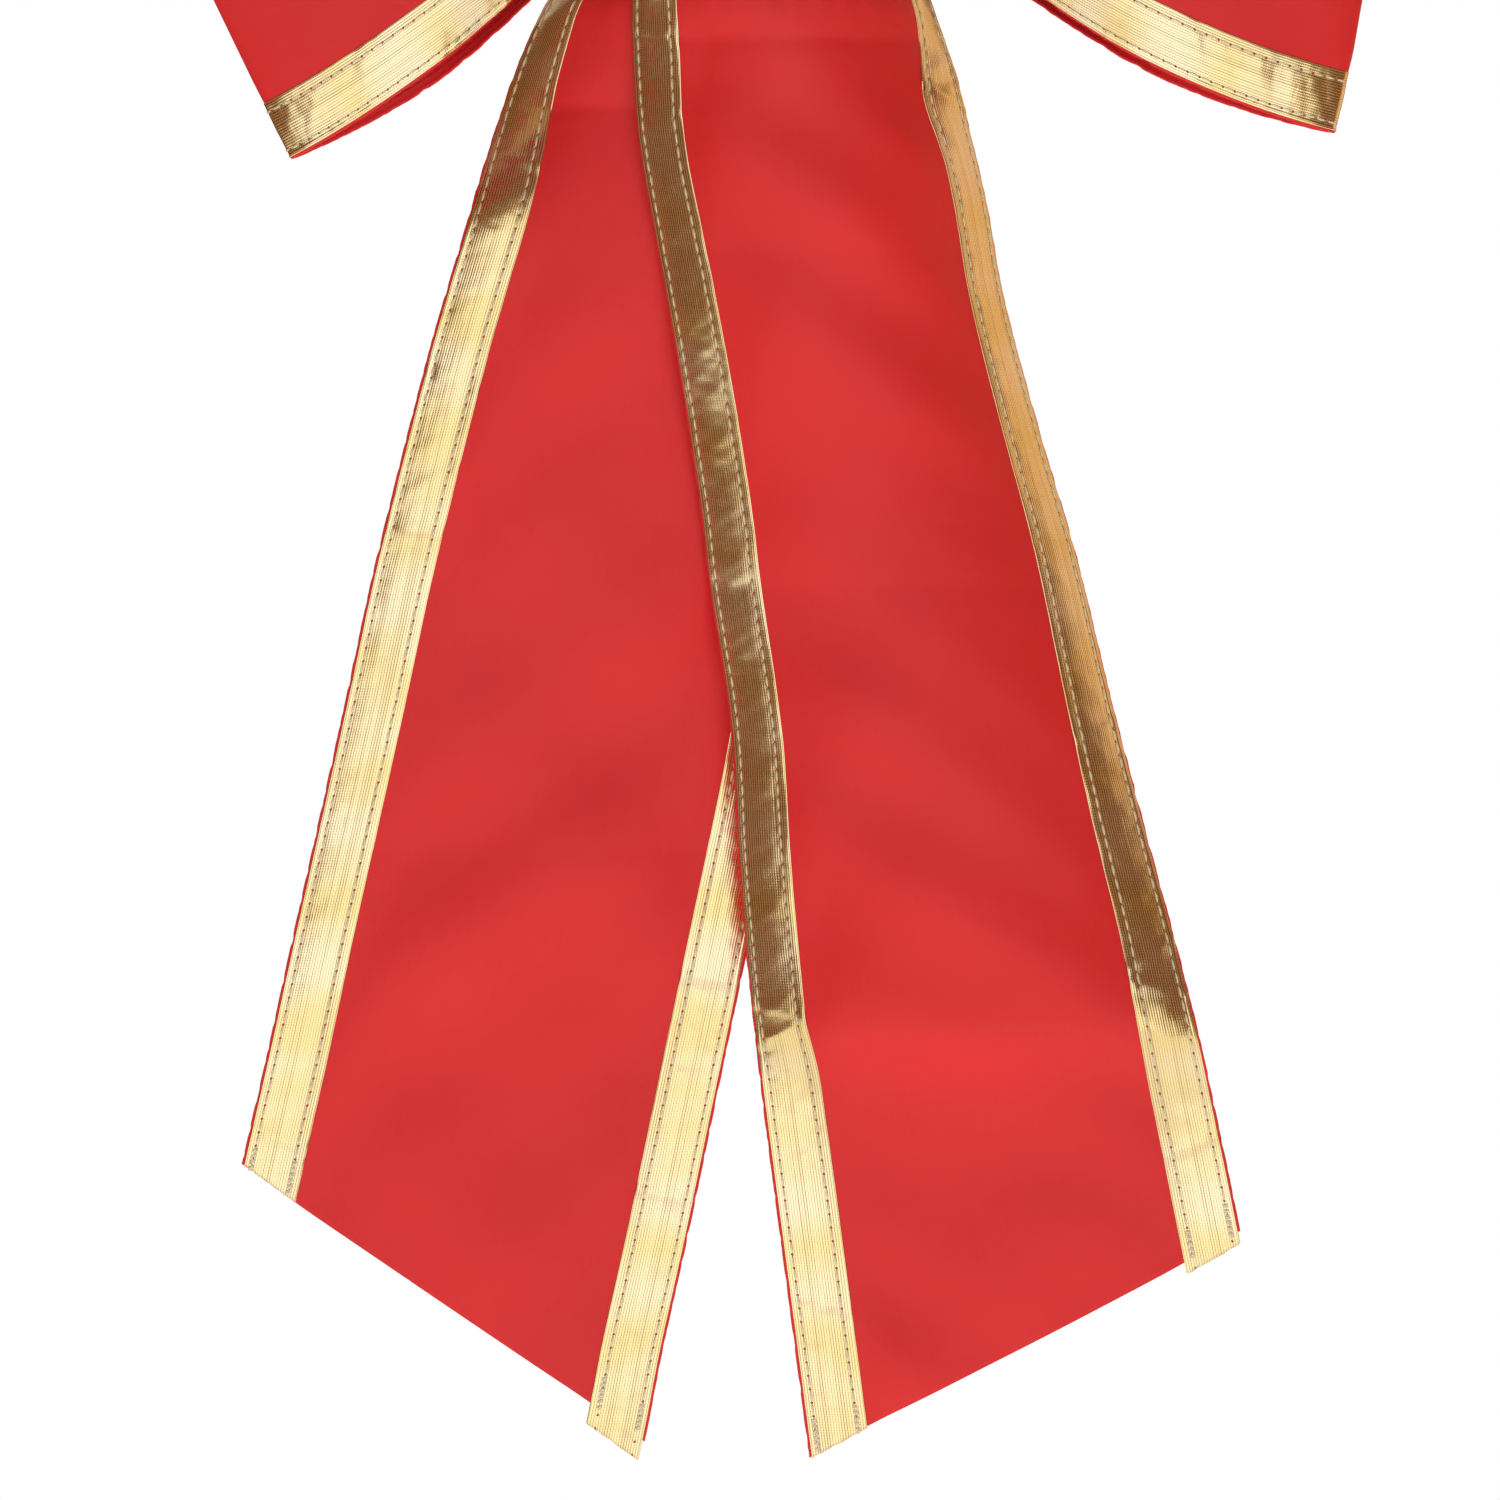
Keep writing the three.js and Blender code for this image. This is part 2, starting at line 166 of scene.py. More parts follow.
# Stitches and folds of the trims
BACKTACK = 8.0
RIBBON_LIFT = 0.24
RIBBON_THICKNESS = 0.16
PUFF = 0.28
FLATTENED = 0.6
RIBBON_PLACES = (0.0, 0.25, 1.2, 2.1, 2.5, 2.9, 4.2, 6.2, 8.2, 10.2, 12.2, 14.2, 15.6, 16.3, 16.7, 17.1, 18.2,
                 19.7, 20.0)
CREASES = {
    "left_loop_lower": ((76, 1.1, 0.3), (88, 1.3, -0.5), (101, 1.0, 0.4), (118, 0.6, -0.4), (136, 0.4, 0.5),
                        (150, 0.4, -0.3)),
    "right_loop_lower": ((72, 0.8, -0.3), (93, 0.9, 0.5), (118, 0.5, 0.4), (146, 0.35, -0.4),
                         (168, 0.3, 0.5)),
    "left_tail_outer": ((212, 0.7, 0.4), (247, 0.6, -0.5), (262, 0.8, 0.2), (138, 0.7, 0.3), (466, 0.8, 0.3),
                        (476, 0.7, -0.2)),
    "left_tail_inner": ((412, 0.9, -0.1), (484, 1.0, -0.15), (452, 0.4, 0.4), (545, 0.4, 0.3)),
    "right_tail_inner": ((98, 0.7, 0.3), (128, 0.6, -0.4), (422, 0.7, 0.2), (430, 0.6, -0.3),
                         (520, 0.5, 0.3)),
    "right_tail_outer": ((118, 0.8, -0.5), (330, 0.6, 0.3), (404, 0.8, 0.5), (415, 0.7, -0.2),
                         (468, 0.6, 0.4)),
}


def smoothstep(value, low, high):
    """Rises smoothly from 0 at low to 1 at high: 3 t squared less 2 t cubed."""
    t = np.clip((value - low) / (high - low), 0.0, 1.0)
    return t * t * (3.0 - 2.0 * t)


def smooth_line(levels, values, at, smoothing=EDGE_SMOOTHING):
    """A line through points, rounded at each by a bell-shaped average over a length called smoothing."""
    fine = np.arange(levels[0] - 60.0, levels[-1] + 60.0, 1.0)
    reach = np.arange(-45, 46)
    bell = np.exp(-0.5 * (reach / smoothing) ** 2)
    line = np.interp(fine, levels, values)
    padded = np.pad(line, len(reach) // 2, mode="reflect", reflect_type="odd")
    return np.interp(at, fine, np.convolve(padded, bell / bell.sum(), mode="valid"))


def ripple(across, along, seed, lengths, lean=0.6, count=9):
    """Soft uneven waves: a sum of sines whose lengths and directions are drawn once from a seeded list."""
    draw = np.random.default_rng(seed)
    total = np.zeros(np.broadcast(across, along).shape)
    for _ in range(count):
        length = draw.uniform(*lengths)
        slant = draw.uniform(-lean, lean)
        phase = draw.uniform(0.0, 2.0 * math.pi)
        total += np.sin(2.0 * math.pi * (along + slant * across) / length + phase)
    return total / math.sqrt(count)


class Surface:
    """A sheet's middle surface as a table of points over (along, across), with its outward normals."""

    def __init__(self, points, along, across, side=1.0):
        self.points, self.along, self.across, self.side = points, along, across, side
        down, over = np.gradient(points, axis=(0, 1))
        normals = np.cross(down, over) * side
        self.normals = normals / np.maximum(np.linalg.norm(normals, axis=-1, keepdims=True), 1e-9)

    def at(self, across, along, lift=0.0):
        """Points at those places, moved out along the normal by lift: the four table points round each
        place, averaged by nearness."""
        across, along, lift = np.broadcast_arrays(across, along, lift)
        row_step, col_step = self.along[1] - self.along[0], self.across[1] - self.across[0]
        row = np.clip((along - self.along[0]) / row_step, 0, len(self.along) - 1.001)
        col = np.clip((across - self.across[0]) / col_step, 0, len(self.across) - 1.001)
        r, c = row.astype(int), col.astype(int)
        fr, fc = (row - r)[..., None], (col - c)[..., None]

        def mixed(table):
            upper = table[r, c] * (1 - fc) + table[r, c + 1] * fc
            lower = table[r + 1, c] * (1 - fc) + table[r + 1, c + 1] * fc
            return upper * (1 - fr) + lower * fr

        normal = mixed(self.normals)
        normal /= np.maximum(np.linalg.norm(normal, axis=-1, keepdims=True), 1e-9)
        return mixed(self.points) + normal * lift[..., None]


def pleat_angle(needed, window, waves, base):
    """The steepest angle of a row's pleats, found by halving, so that the row's length along its chord is
    the one needed. A row's slope is its base turn plus that angle times window times waves."""
    low, high = np.zeros(len(needed)), np.full(len(needed), STEEPEST_PLEAT)
    for _ in range(26):
        middle = (low + high) / 2
        chord = np.cos(base + middle[:, None] * window * waves).mean(axis=1)
        low, high = np.where(chord > needed, middle, low), np.where(chord > needed, high, middle)
    return (low + high) / 2


def running(values, step):
    """The running total along each row, from 0 at its first column, by trapezoids."""
    total = np.cumsum((values[:, 1:] + values[:, :-1]) / 2 * step, axis=1)
    return np.concatenate([np.zeros((len(values), 1)), total], axis=1)


def clearance(x, y, behind):
    """How far forward each row has to go to clear the row behind it, made smooth down the tail: the most
    over the row of its depth less the other's depth at the same x."""
    low = np.maximum.accumulate(behind.points[..., 0], axis=1)
    depth = behind.points[..., 1]
    far_behind = -99.0

    def most(row_x, row_y, under, wall):
        over_it = (row_x > under[0]) & (row_x < under[-1])
        return np.max(np.where(over_it, row_y - np.interp(row_x, under, wall), far_behind))

    needed = np.array([most(*row) for row in zip(x, y, low, depth)])
    needed = np.maximum(needed + TAILS_APART, 0.0)
    reach = np.arange(-30, 31)
    padded = np.pad(needed, 30, mode="edge")
    widest = np.max([padded[30 + k : 30 + k + len(needed)] for k in range(-14, 15)], axis=0)
    bell = np.exp(-0.5 * (reach / 11.0) ** 2)
    return np.convolve(np.pad(widest, 30, mode="edge"), bell / bell.sum(), mode="valid")


def tail_surface(tail, pleats, seed, behind=None):
    """A tail. Every level is a row whose slope goes from one ribbon's turn to the other's, with pleats where
    it is gathered; its cosine and sine are added up across the strip, and the row is set between its two
    trim lines. Its left edge stands off the wall by the frame's lead, no point goes behind its layer, and it
    is moved in front of the tail behind it wherever their rows overlap."""
    levels = np.arange(0.0, 606.0, 1.0)
    across = np.linspace(0.0, STRIP_WIDTH, SURFACE_COLUMNS)
    share = across / STRIP_WIDTH
    left = smooth_line(tail["left_levels"], tail["left_trim"], levels)
    right = smooth_line(tail["right_levels"], tail["right_trim"], levels)
    turns = [
        np.radians(smooth_line(tail["turn_levels"], tail[side], levels, smoothing))
        for side in ("left_turn", "right_turn")
        for smoothing in (TURN_SMOOTHING, FIELD_SMOOTHING)
    ]
    left_turn, left_soft, right_turn, right_soft = turns
    left_edge = left - HEM * np.cos(left_turn)
    right_edge = right + HEM * np.cos(right_turn)
    chord = right_edge - left_edge
    on_left = 1 - smoothstep(across, HEM + RIBBON_WIDTH, 36.0)
    on_right = 1 - smoothstep(STRIP_WIDTH - across, HEM + RIBBON_WIDTH, 36.0)
    turn = right_soft[:, None] * share ** tail["spread"] - left_soft[:, None] * (1 - share) ** tail["spread"]
    turn += (right_turn - right_soft)[:, None] * on_right - (left_turn - left_soft)[:, None] * on_left
    opened = smoothstep(levels, OPENING_FROM, OPENING_TO)[:, None]
    field = smoothstep(across, 16.0, 34.0) * smoothstep(STRIP_WIDTH - across, 16.0, 34.0)
    waves = np.sin(2 * math.pi * (pleats * share + 0.06 * np.sin(2 * math.pi * 3 * share + seed)))
    window = 1 - opened * (1 - field)
    fade = 1 - smoothstep(levels, PLEATED_TO, PLEATS_GONE)
    slope = turn + (pleat_angle(chord / STRIP_WIDTH, window, waves, turn) * fade)[:, None] * window * waves
    step = across[1] - across[0]
    flat = running(np.cos(slope), step)
    give = running(np.cos(slope) * window, step)
    x = left_edge[:, None] + flat + give * ((chord - flat[:, -1]) / give[:, -1])[:, None]
    y = running(np.sin(slope), step)
    wall = -TAIL_OFF_WALL - tail["layer"] * np.exp(-levels / LAYER_SETTLES)
    lead = tail["lead"][0] + tail["lead"][1] * np.exp(-(levels - LEAD_FROM) / LEAD_FADE)
    y += (wall - lead * smoothstep(levels, LEAD_FROM, LEAD_TO))[:, None]
    y -= np.maximum(y.max(axis=1) - wall, 0.0)[:, None]
    if behind is not None:
        y -= clearance(x, y, behind)[:, None]
    soft = field * (0.5 + 0.5 * opened)
    y += 1.5 * soft * ripple(across[None, :], levels[:, None], seed, (45.0, 120.0), lean=1.0)
    z = np.broadcast_to(TAIL_TOP - levels[:, None], x.shape)
    return Surface(np.stack([x, y, z], axis=-1), levels, across)


def squeezed(size, room, outwards):
    """A size held under the room at the band's mouth: size over the sixth root of one plus its ratio to the
    room, to the sixth. The room opens past the band."""
    limit = room + MOUTH_FLARE * np.maximum(0, outwards - KNOT_WIDTH / 2 - MOUTH_MARGIN)
    return size / (1 + np.abs(size / limit) ** SQUEEZE_POWER) ** (1 / SQUEEZE_POWER)


def loop_points(loop, share, angle):
    """A loop on the frame's outline: out from the core at the front, round a pressed fold and back. Reach is
    the sine of its angle. Its depth is a belly, a sine of the reach, times the square root of one less the
    reach raised to twice FOLD_SHARPNESS, so it is flat along the front and closes sharply at the fold."""
    reach = np.sin(angle)
    towards_back = (1 - np.cos(angle)) / 2
    bowed = 4 * reach * (1 - reach)
    fold = math.radians(loop["fold"])
    lower_x = LOOP_START + (loop["span"] - LOOP_START) * reach
    upper_x = LOOP_START + (loop["span"] + STRIP_WIDTH * math.sin(fold) - LOOP_START) * reach
    lower_bow = loop["lower_bow"] * bowed + loop["back_drop"] * towards_back * bowed
    half = CORE_HEIGHT / 2
    lower_z = -half + (half - loop["drop"]) * reach - lower_bow
    upper_z = half + (STRIP_WIDTH * math.cos(fold) - loop["drop"] - half) * reach + loop["upper_bow"] * bowed
    x = lower_x + (upper_x - lower_x) * share
    low, high = squeezed(lower_z, MOUTH_HEIGHT, lower_x), squeezed(upper_z, MOUTH_HEIGHT, upper_x)
    z = low + (high - low) * share
    swelling = np.sin(math.pi * np.maximum(0, reach) ** BELLY_SKEW)
    belly = LOOP_START_DEPTH * (1 - 0.55 * reach) + LOOP_BELLY * swelling
    pressed = sum(reach ** (2 * power) for power in range(FOLD_SHARPNESS)) ** 0.5
    rounding = 1 - EDGE_ROUNDING * (1 - reach) * (2 * share - 1) ** 2
    middle_y = KNOT_CENTRE_Y - LOOP_SET_FORWARD * np.sin(math.pi * reach)
    y = middle_y - np.cos(angle) * pressed * squeezed(belly * rounding, MOUTH_DEPTH, x)
    return np.stack([loop["side"] * x, y, z], axis=-1)


def loop_surface(loop, pleats, seed):
    """A loop. Each row across the frame's loop is shorter than the strip near the knot, so the strip is
    folded into pleats there: its slope's cosine moves it along the row and its sine off the row. Near the
    knot both trims curl towards the loop's inside."""
    turns = np.linspace(0.0, math.pi, LOOP_LEVELS)[:, None]
    across = np.linspace(0.0, STRIP_WIDTH, SURFACE_COLUMNS)
    share = across / STRIP_WIDTH
    base = loop_points(loop, share[None, :], turns)
    middle = base[:, len(across) // 2]
    steps = np.linalg.norm(np.diff(middle, axis=0), axis=1)
    along = np.concatenate([[0.0], np.cumsum(steps)])
    even = np.linspace(0.0, along[-1], LOOP_LEVELS)
    turns = np.interp(even, along, turns[:, 0])[:, None]
    base = loop_points(loop, share[None, :], turns)
    row = np.linalg.norm(np.diff(base, axis=1), axis=2).sum(axis=1)
    reach = np.sin(turns[:, 0])
    slack = np.clip(row / STRIP_WIDTH, 0.2, 1.0)
    field = smoothstep(across, 17.0, 30.0) * smoothstep(STRIP_WIDTH - across, 17.0, 30.0)
    gathered = smoothstep(0.62 - slack, 0.0, 0.3)[:, None]
    window = field + (1 - field) * gathered
    waves = np.sin(2 * math.pi * (pleats * share + 0.08 * np.sin(2 * math.pi * 2 * share + seed)))
    fade = 1 - smoothstep(reach, 0.32, 0.74)
    flat_turn = np.zeros((len(turns), len(across)))
    slope = (pleat_angle(slack, window, waves, flat_turn) * fade)[:, None] * window * waves
    step = across[1] - across[0]
    flat = running(np.cos(slope), step)
    give = running(np.cos(slope) * (0.02 + window), step)
    place = flat + give * ((row - flat[:, -1]) / give[:, -1])[:, None]
    place /= place[:, -1:]
    offset = running(np.sin(slope), step)
    offset -= offset[:, -1:] * share
    ground = Surface(base, even, across, loop["side"])
    level = np.broadcast_to(even[:, None], place.shape)
    soft = ripple(across[None, :], level, seed, (40.0, 110.0), lean=0.9)
    offset += 0.6 * field * (1 - fade[:, None]) * soft
    curled = 1 - smoothstep(reach, 0.5, 0.72)[:, None]
    inside = np.maximum(24.0 - np.minimum(across, STRIP_WIDTH - across), 0.0)
    offset -= TRIM_CURL * curled * inside ** 2 / (24.0 + inside)
    room = smoothstep(np.abs(base[:, len(across) // 2, 0]), 26.0, 60.0)[:, None]
    offset *= 0.42 + 0.58 * room
    return Surface(ground.at(place * STRIP_WIDTH, level, offset), even, across, loop["side"])


def band_surface():
    """The knot's wrap: a squarish ring round the X axis whose depth and height are powers of a cosine and a
    sine, with three soft folds along it that fade out under its ribbons."""
    across = np.linspace(0.0, KNOT_WIDTH, 117)
    angle = np.linspace(0.0, 2 * math.pi, 361)[:, None]

    def rounded(value):
        return np.sign(value) * np.abs(value) ** (2 / BAND_SQUARENESS)

    x = np.broadcast_to(across - KNOT_WIDTH / 2, (len(angle), len(across)))
    y = np.broadcast_to(KNOT_CENTRE_Y - KNOT_DEPTH / 2 * rounded(np.cos(angle)), x.shape)
    z = np.broadcast_to(KNOT_HEIGHT / 2 * rounded(np.sin(angle)), x.shape)
    points = np.stack([x, y, z], axis=-1)
    lengths = np.concatenate([[0.0], np.cumsum(np.linalg.norm(np.diff(points[:, 0], axis=0), axis=1))])
    even = np.linspace(0.0, lengths[-1], 361)
    points = np.stack([np.interp(even, lengths, points[:, 0, k]) for k in range(3)], axis=-1)
    points = np.repeat(points[:, None], len(across), axis=1)
    points[..., 0] = x
    ground = Surface(points, even, across, -1.0)
    field = smoothstep(across, 18.0, 25.0) * smoothstep(KNOT_WIDTH - across, 18.0, 25.0)
    wander = 0.8 * np.sin(2 * math.pi * even / even[-1] * 2)[:, None]
    folds = np.sin(2 * math.pi * (across[None, :] + wander) / 7.0) * 0.55
    folds += 0.35 * np.sin(2 * math.pi * (across[None, :] - 2 * wander) / 12.5 + 1.0)
    front = np.broadcast_to(even[:, None], x.shape)
    folded = ground.at(np.broadcast_to(across, x.shape), front, field * (folds - 0.3))
    return Surface(folded, even, across, -1.0)


def skin_faces(rows, ring, count=1, closed=False):
    """The faces of count tubes, each a grid of rows by ring points closed round the ring. An open tube's ends
    are closed by strips between its two halves."""
    r, c = np.meshgrid(np.arange(rows if closed else rows - 1), np.arange(ring), indexing="ij")
    after, beside = (r + 1) % rows, (c + 1) % ring
    faces = np.stack([r * ring + c, after * ring + c, after * ring + beside, r * ring + beside], axis=-1)
    faces = faces.reshape(-1, 4)
    if not closed:
        j = np.arange(ring // 2 - 1)
        start = np.stack([j, j + 1, ring - 2 - j, ring - 1 - j], axis=-1)
        faces = np.concatenate([faces, start, start[:, ::-1] + (rows - 1) * ring])
    offsets = (np.arange(count) * rows * ring)[:, None, None]
    return (faces[None] + offsets).reshape(-1, 4)


def add_mesh(name, points, faces, way, material):
    """A mesh object at the origin from points in millimetres, quads, and each point's place on its cloth,
    which goes into a UV map in metres."""
    mesh = bpy.data.meshes.new(name)
    mesh.vertices.add(len(points))
    mesh.vertices.foreach_set("co", (points * MM).astype(np.float32).ravel())
    mesh.loops.add(faces.size)
    mesh.loops.foreach_set("vertex_index", faces.astype(np.int32).ravel())
    mesh.polygons.add(len(faces))
    mesh.polygons.foreach_set("loop_start", np.arange(0, faces.size, 4, dtype=np.int32))
    mesh.polygons.foreach_set("use_smooth", np.ones(len(faces), dtype=bool))
    mesh.update(calc_edges=True)
    uv = mesh.uv_layers.new(name="Cloth way")
    uv.data.foreach_set("uv", (way * MM)[faces.ravel()].astype(np.float32).ravel())
    mesh.validate()
    obj = bpy.data.objects.new(name, mesh)
    bpy.context.scene.collection.objects.link(obj)
    mesh.materials.append(bpy.data.materials[material])
    return obj


def add_shell(name, surface, across, along, low, high, material, way=None, closed=False):
    """A closed thin sheet: the surface moved out by high on its front and by low on its back. Across and
    along are grids of places, and way is their place on the cloth's pattern."""
    across, along, low, high = np.broadcast_arrays(across, along, low, high)
    front, back = surface.at(across, along, high), surface.at(across, along, low)
    ring = np.concatenate([front, back[:, ::-1]], axis=1)
    if way is None:
        way = np.stack([across, along], axis=-1)
    ways = np.concatenate([way, way[:, ::-1]], axis=1)
    if surface.side < 0:
        ring, ways = ring[:, ::-1], ways[:, ::-1]
    rows, around = ring.shape[:2]
    faces = skin_faces(rows, around, closed=closed)
    return add_mesh(name, ring.reshape(-1, 3), faces, ways.reshape(-1, 2), material)


def cloth_columns(width, fine):
    """Places across a strip, close together in the rounded hems and even between them."""
    edge = np.array([0.0, 0.12, 0.35, 0.75, 1.2, 1.6, 2.1, 2.8])
    return np.concatenate([edge, np.linspace(3.6, width - 3.6, fine), width - edge[::-1]])


def cloth_thickness(across, width, sheet, hem):
    """The sheet's thickness, with a rounded folded hem along both edges."""
    inward = np.minimum(across, width - across)
    rounded = np.sqrt(np.clip(inward / 0.5, 0.02, 1.0))
    return (hem + (sheet - hem) * smoothstep(inward, 0.8, 1.9)) * rounded


def hem_pucker(across, width, along, pitch, seed):
    """How far the hem's edge is drawn in and out by the stitches: a wave of one stitch, made uneven."""
    inward = np.minimum(across, width - across)
    towards = np.where(across < width / 2, -1.0, 1.0)
    wave = 0.5 * np.sin(2 * math.pi * along / pitch) + ripple(across * 0, along, seed, (7.0, 19.0), lean=0.0)
    return towards * 0.2 * wave * (1 - smoothstep(inward, 0.0, 2.6))


class Trim:
    """A gold ribbon along one edge of a surface: where it lies, and how its top rises and creases."""

    def __init__(self, name, surface, width, far, seed):
        self.name, self.surface, self.width, self.far, self.seed = name, surface, width, far, seed
        self.creases = CREASES.get(name, ())
        self.pitch = bpy.context.scene.bow_trims.stitch_length / MM

    def across(self, local):
        """The place across the strip of a place measured in from the ribbon's outer edge."""
        inward = HEM + local
        return self.width - inward if self.far else inward

    def lift(self, local, along):
        """The height of the ribbon's top over the cloth: a puff between its stitch rows, needle dimples,
        uneven crinkles and a few bell-shaped creases."""
        between = np.clip((local - EDGE_ROW) / (FIELD_ROW - EDGE_ROW), 0.0, 1.0)
        puff = PUFF * np.sin(math.pi * between)
        rows = np.exp(-(((local - EDGE_ROW) / 0.9) ** 2)) + np.exp(-(((local - FIELD_ROW) / 0.9) ** 2))
        dimple = 0.07 * rows * (0.4 + np.cos(2 * math.pi * along / self.pitch))
        crinkle = 0.11 * ripple(local, along, self.seed, (6.0, 26.0), lean=1.2, count=14)
        crinkle += 0.028 * ripple(local, along, self.seed + 50, (2.6, 6.0), lean=0.8, count=8)
        total = crinkle * (0.35 + 0.65 * np.sin(math.pi * np.clip(local / RIBBON_WIDTH, 0, 1)))
        for place, height, skew in self.creases:
            total = total + height * 0.5 * np.exp(-(((along - place - skew * (local - 10.0)) / 2.2) ** 2))
        rise = puff + total * (1 - 0.6 * np.clip(rows, 0, 1)) - dimple
        over_hem = 0.3 * (1 - smoothstep(np.minimum(local, 3.0), 0.0, 1.3))
        return RIBBON_LIFT + RIBBON_THICKNESS + over_hem + np.maximum(rise, -0.14)


def add_ribbon(trim, start, end, closed=False):
    """The ribbon itself: a thin closed sheet under the trim's top. Start and end give the levels where it
    begins and ends for each place across, and its cut end is slightly ragged."""
    local = np.array(RIBBON_PLACES)
    rows = int(round((np.max(end(local)) - np.min(start(local))) / (trim.pitch / 4)))
    share = np.linspace(0.0, 1.0, rows + 1)[:, None]
    if closed:
        share = share[:-1]
    low, high = start(local)[None, :], end(local)[None, :]
    along = low + (high - low) * share
    local = np.broadcast_to(local, along.shape)
    if not closed:
        frayed = np.random.default_rng(trim.seed).uniform(-0.28, 0.1, along.shape[1])
        along = along + np.where(share >= 1.0, frayed, 0.0)
    top = trim.lift(local, along)
    edge = np.minimum(local, RIBBON_WIDTH - local)
    top = np.where(edge < 0.2, RIBBON_LIFT + 0.5 * (top - RIBBON_LIFT), top)
    bottom = np.maximum(top - RIBBON_THICKNESS, 0.1)
    way = np.stack([local, along], axis=-1)
    across = trim.across(local)
    if trim.far:
        across, along, bottom, top, way = (a[:, ::-1] for a in (across, along, bottom, top, way))
    name = trim.name + "_gold_trim"
    return add_shell(name, trim.surface, across, along, bottom, top, "Gold ribbon", way, closed)


def add_stitches(name, surface, across, starts, lengths, lifts, radius, material, bow=0.2):
    """Lockstitches: each is a short six-sided tube of five rings that rises from its needle hole, arches by
    a sine and goes down again. It is thinner at both ends and pressed flat to FLATTENED of its width."""
    rings, sides = 5, 6
    share = np.linspace(0.0, 1.0, rings)[None, :]
    along = starts[:, None] + lengths[:, None] * share
    across = np.broadcast_to(np.reshape(across, (-1, 1)), along.shape)
    arch = np.sin(math.pi * share)
    lift = lifts(across, along) + np.sign(bow) * radius * 0.3 + bow * arch
    centre = surface.at(across, along, lift)
    out = surface.at(across, along, lift + 1.0) - centre
    ahead = np.gradient(centre, axis=1)
    ahead /= np.maximum(np.linalg.norm(ahead, axis=-1, keepdims=True), 1e-9)
    beside = np.cross(out, ahead)
    beside /= np.maximum(np.linalg.norm(beside, axis=-1, keepdims=True), 1e-9)
    turn = 2 * math.pi * np.arange(sides) / sides
    thick = radius * (0.5 + 0.5 * arch)[..., None, None]
    rise, reach = np.sin(turn)[None, None, :, None], np.cos(turn)[None, None, :, None]
    ring = out[:, :, None] * rise * FLATTENED + beside[:, :, None] * reach
    points = centre[:, :, None] + ring * thick
    place = np.broadcast_to((turn / (2 * math.pi) * 2 * math.pi * radius)[None, None, :], points.shape[:3])
    way = np.stack([place, np.broadcast_to(along[:, :, None], place.shape)], axis=-1)
    faces = skin_faces(rings, sides, count=len(starts))
    return add_mesh(name, points.reshape(-1, 3), faces, way.reshape(-1, 2), material)


def add_topstitching(trim, start, end, tack=True):
    """Both rows of thread on a ribbon, and the tight rows over their last stretch where the seam was
    worked back and forth."""
    draw = np.random.default_rng(trim.seed + 7)
    pitch, radius = trim.pitch, bpy.context.scene.bow_trims.thread_width / MM / 2
    starts, lengths, places = [], [], []
    for row in (EDGE_ROW, FIELD_ROW):
        low, high = float(start(np.array([row]))[0]), float(end(np.array([row]))[0])
        first = math.ceil((low + 0.5) / pitch)
        last = math.floor((high - (BACKTACK if tack else 0.2)) / pitch)
        row_starts = np.arange(first, last) * pitch + 0.46
        starts.append(row_starts)
        lengths.append(np.full(len(row_starts), pitch - 0.92) + draw.uniform(-0.15, 0.15, len(row_starts)))
        places.append(row + draw.uniform(-0.1, 0.1, len(row_starts)))
        if tack:
            for shift in (-0.42, 0.05, 0.45):
                tacks = np.arange(last * pitch + 0.3, high - 1.6, 1.9) + draw.uniform(0, 0.8)
                starts.append(tacks)
                lengths.append(draw.uniform(1.3, 2.0, len(tacks)))
                places.append(row + shift + draw.uniform(-0.12, 0.12, len(tacks)))
    starts, lengths, places = (np.concatenate(a) for a in (starts, lengths, places))

    def top(across, along):
        inward = trim.width - across if trim.far else across
        return trim.lift(inward - HEM, along)

    return add_stitches(trim.name + "_topstitching", trim.surface, trim.across(places), starts, lengths, top,
                        radius, "Gold thread", bow=0.08)


def add_bobbin_rows(name, surface, trims, start, end):
    """The underside of the seams: a row of small red stitches on the back of the cloth below each row on
    the front."""
    starts, places = [], []
    for trim in trims:
        for row in (EDGE_ROW, FIELD_ROW):
            low, high = float(start(trim, row)), float(end(trim, row))
            first = math.ceil((low + 0.5) / trim.pitch)
            last = math.floor((high - 1) / trim.pitch)
            row_starts = np.arange(first, last) * trim.pitch + 0.3
            starts.append(row_starts)
            places.append(np.full(len(row_starts), float(trim.across(row))))
    starts, places = np.concatenate(starts), np.concatenate(places)
    lengths = np.full(len(starts), trims[0].pitch - 0.6)
    behind = -bpy.context.scene.bow_cloth.thickness / MM / 2

    def back(across, along):
        return behind + 0.0 * along

    return add_stitches(name, surface, places, starts, lengths, back, 0.2, "Red thread", bow=-0.1)


def tail_end(tail, across, over=0.0):
    """The level of a tail's slanted cut at a place across, or of a ribbon end that far past it."""
    share = across / STRIP_WIDTH
    shorter = tail["shorter"][0] + (tail["shorter"][1] - tail["shorter"][0]) * share
    return TAIL_LENGTH - shorter + over


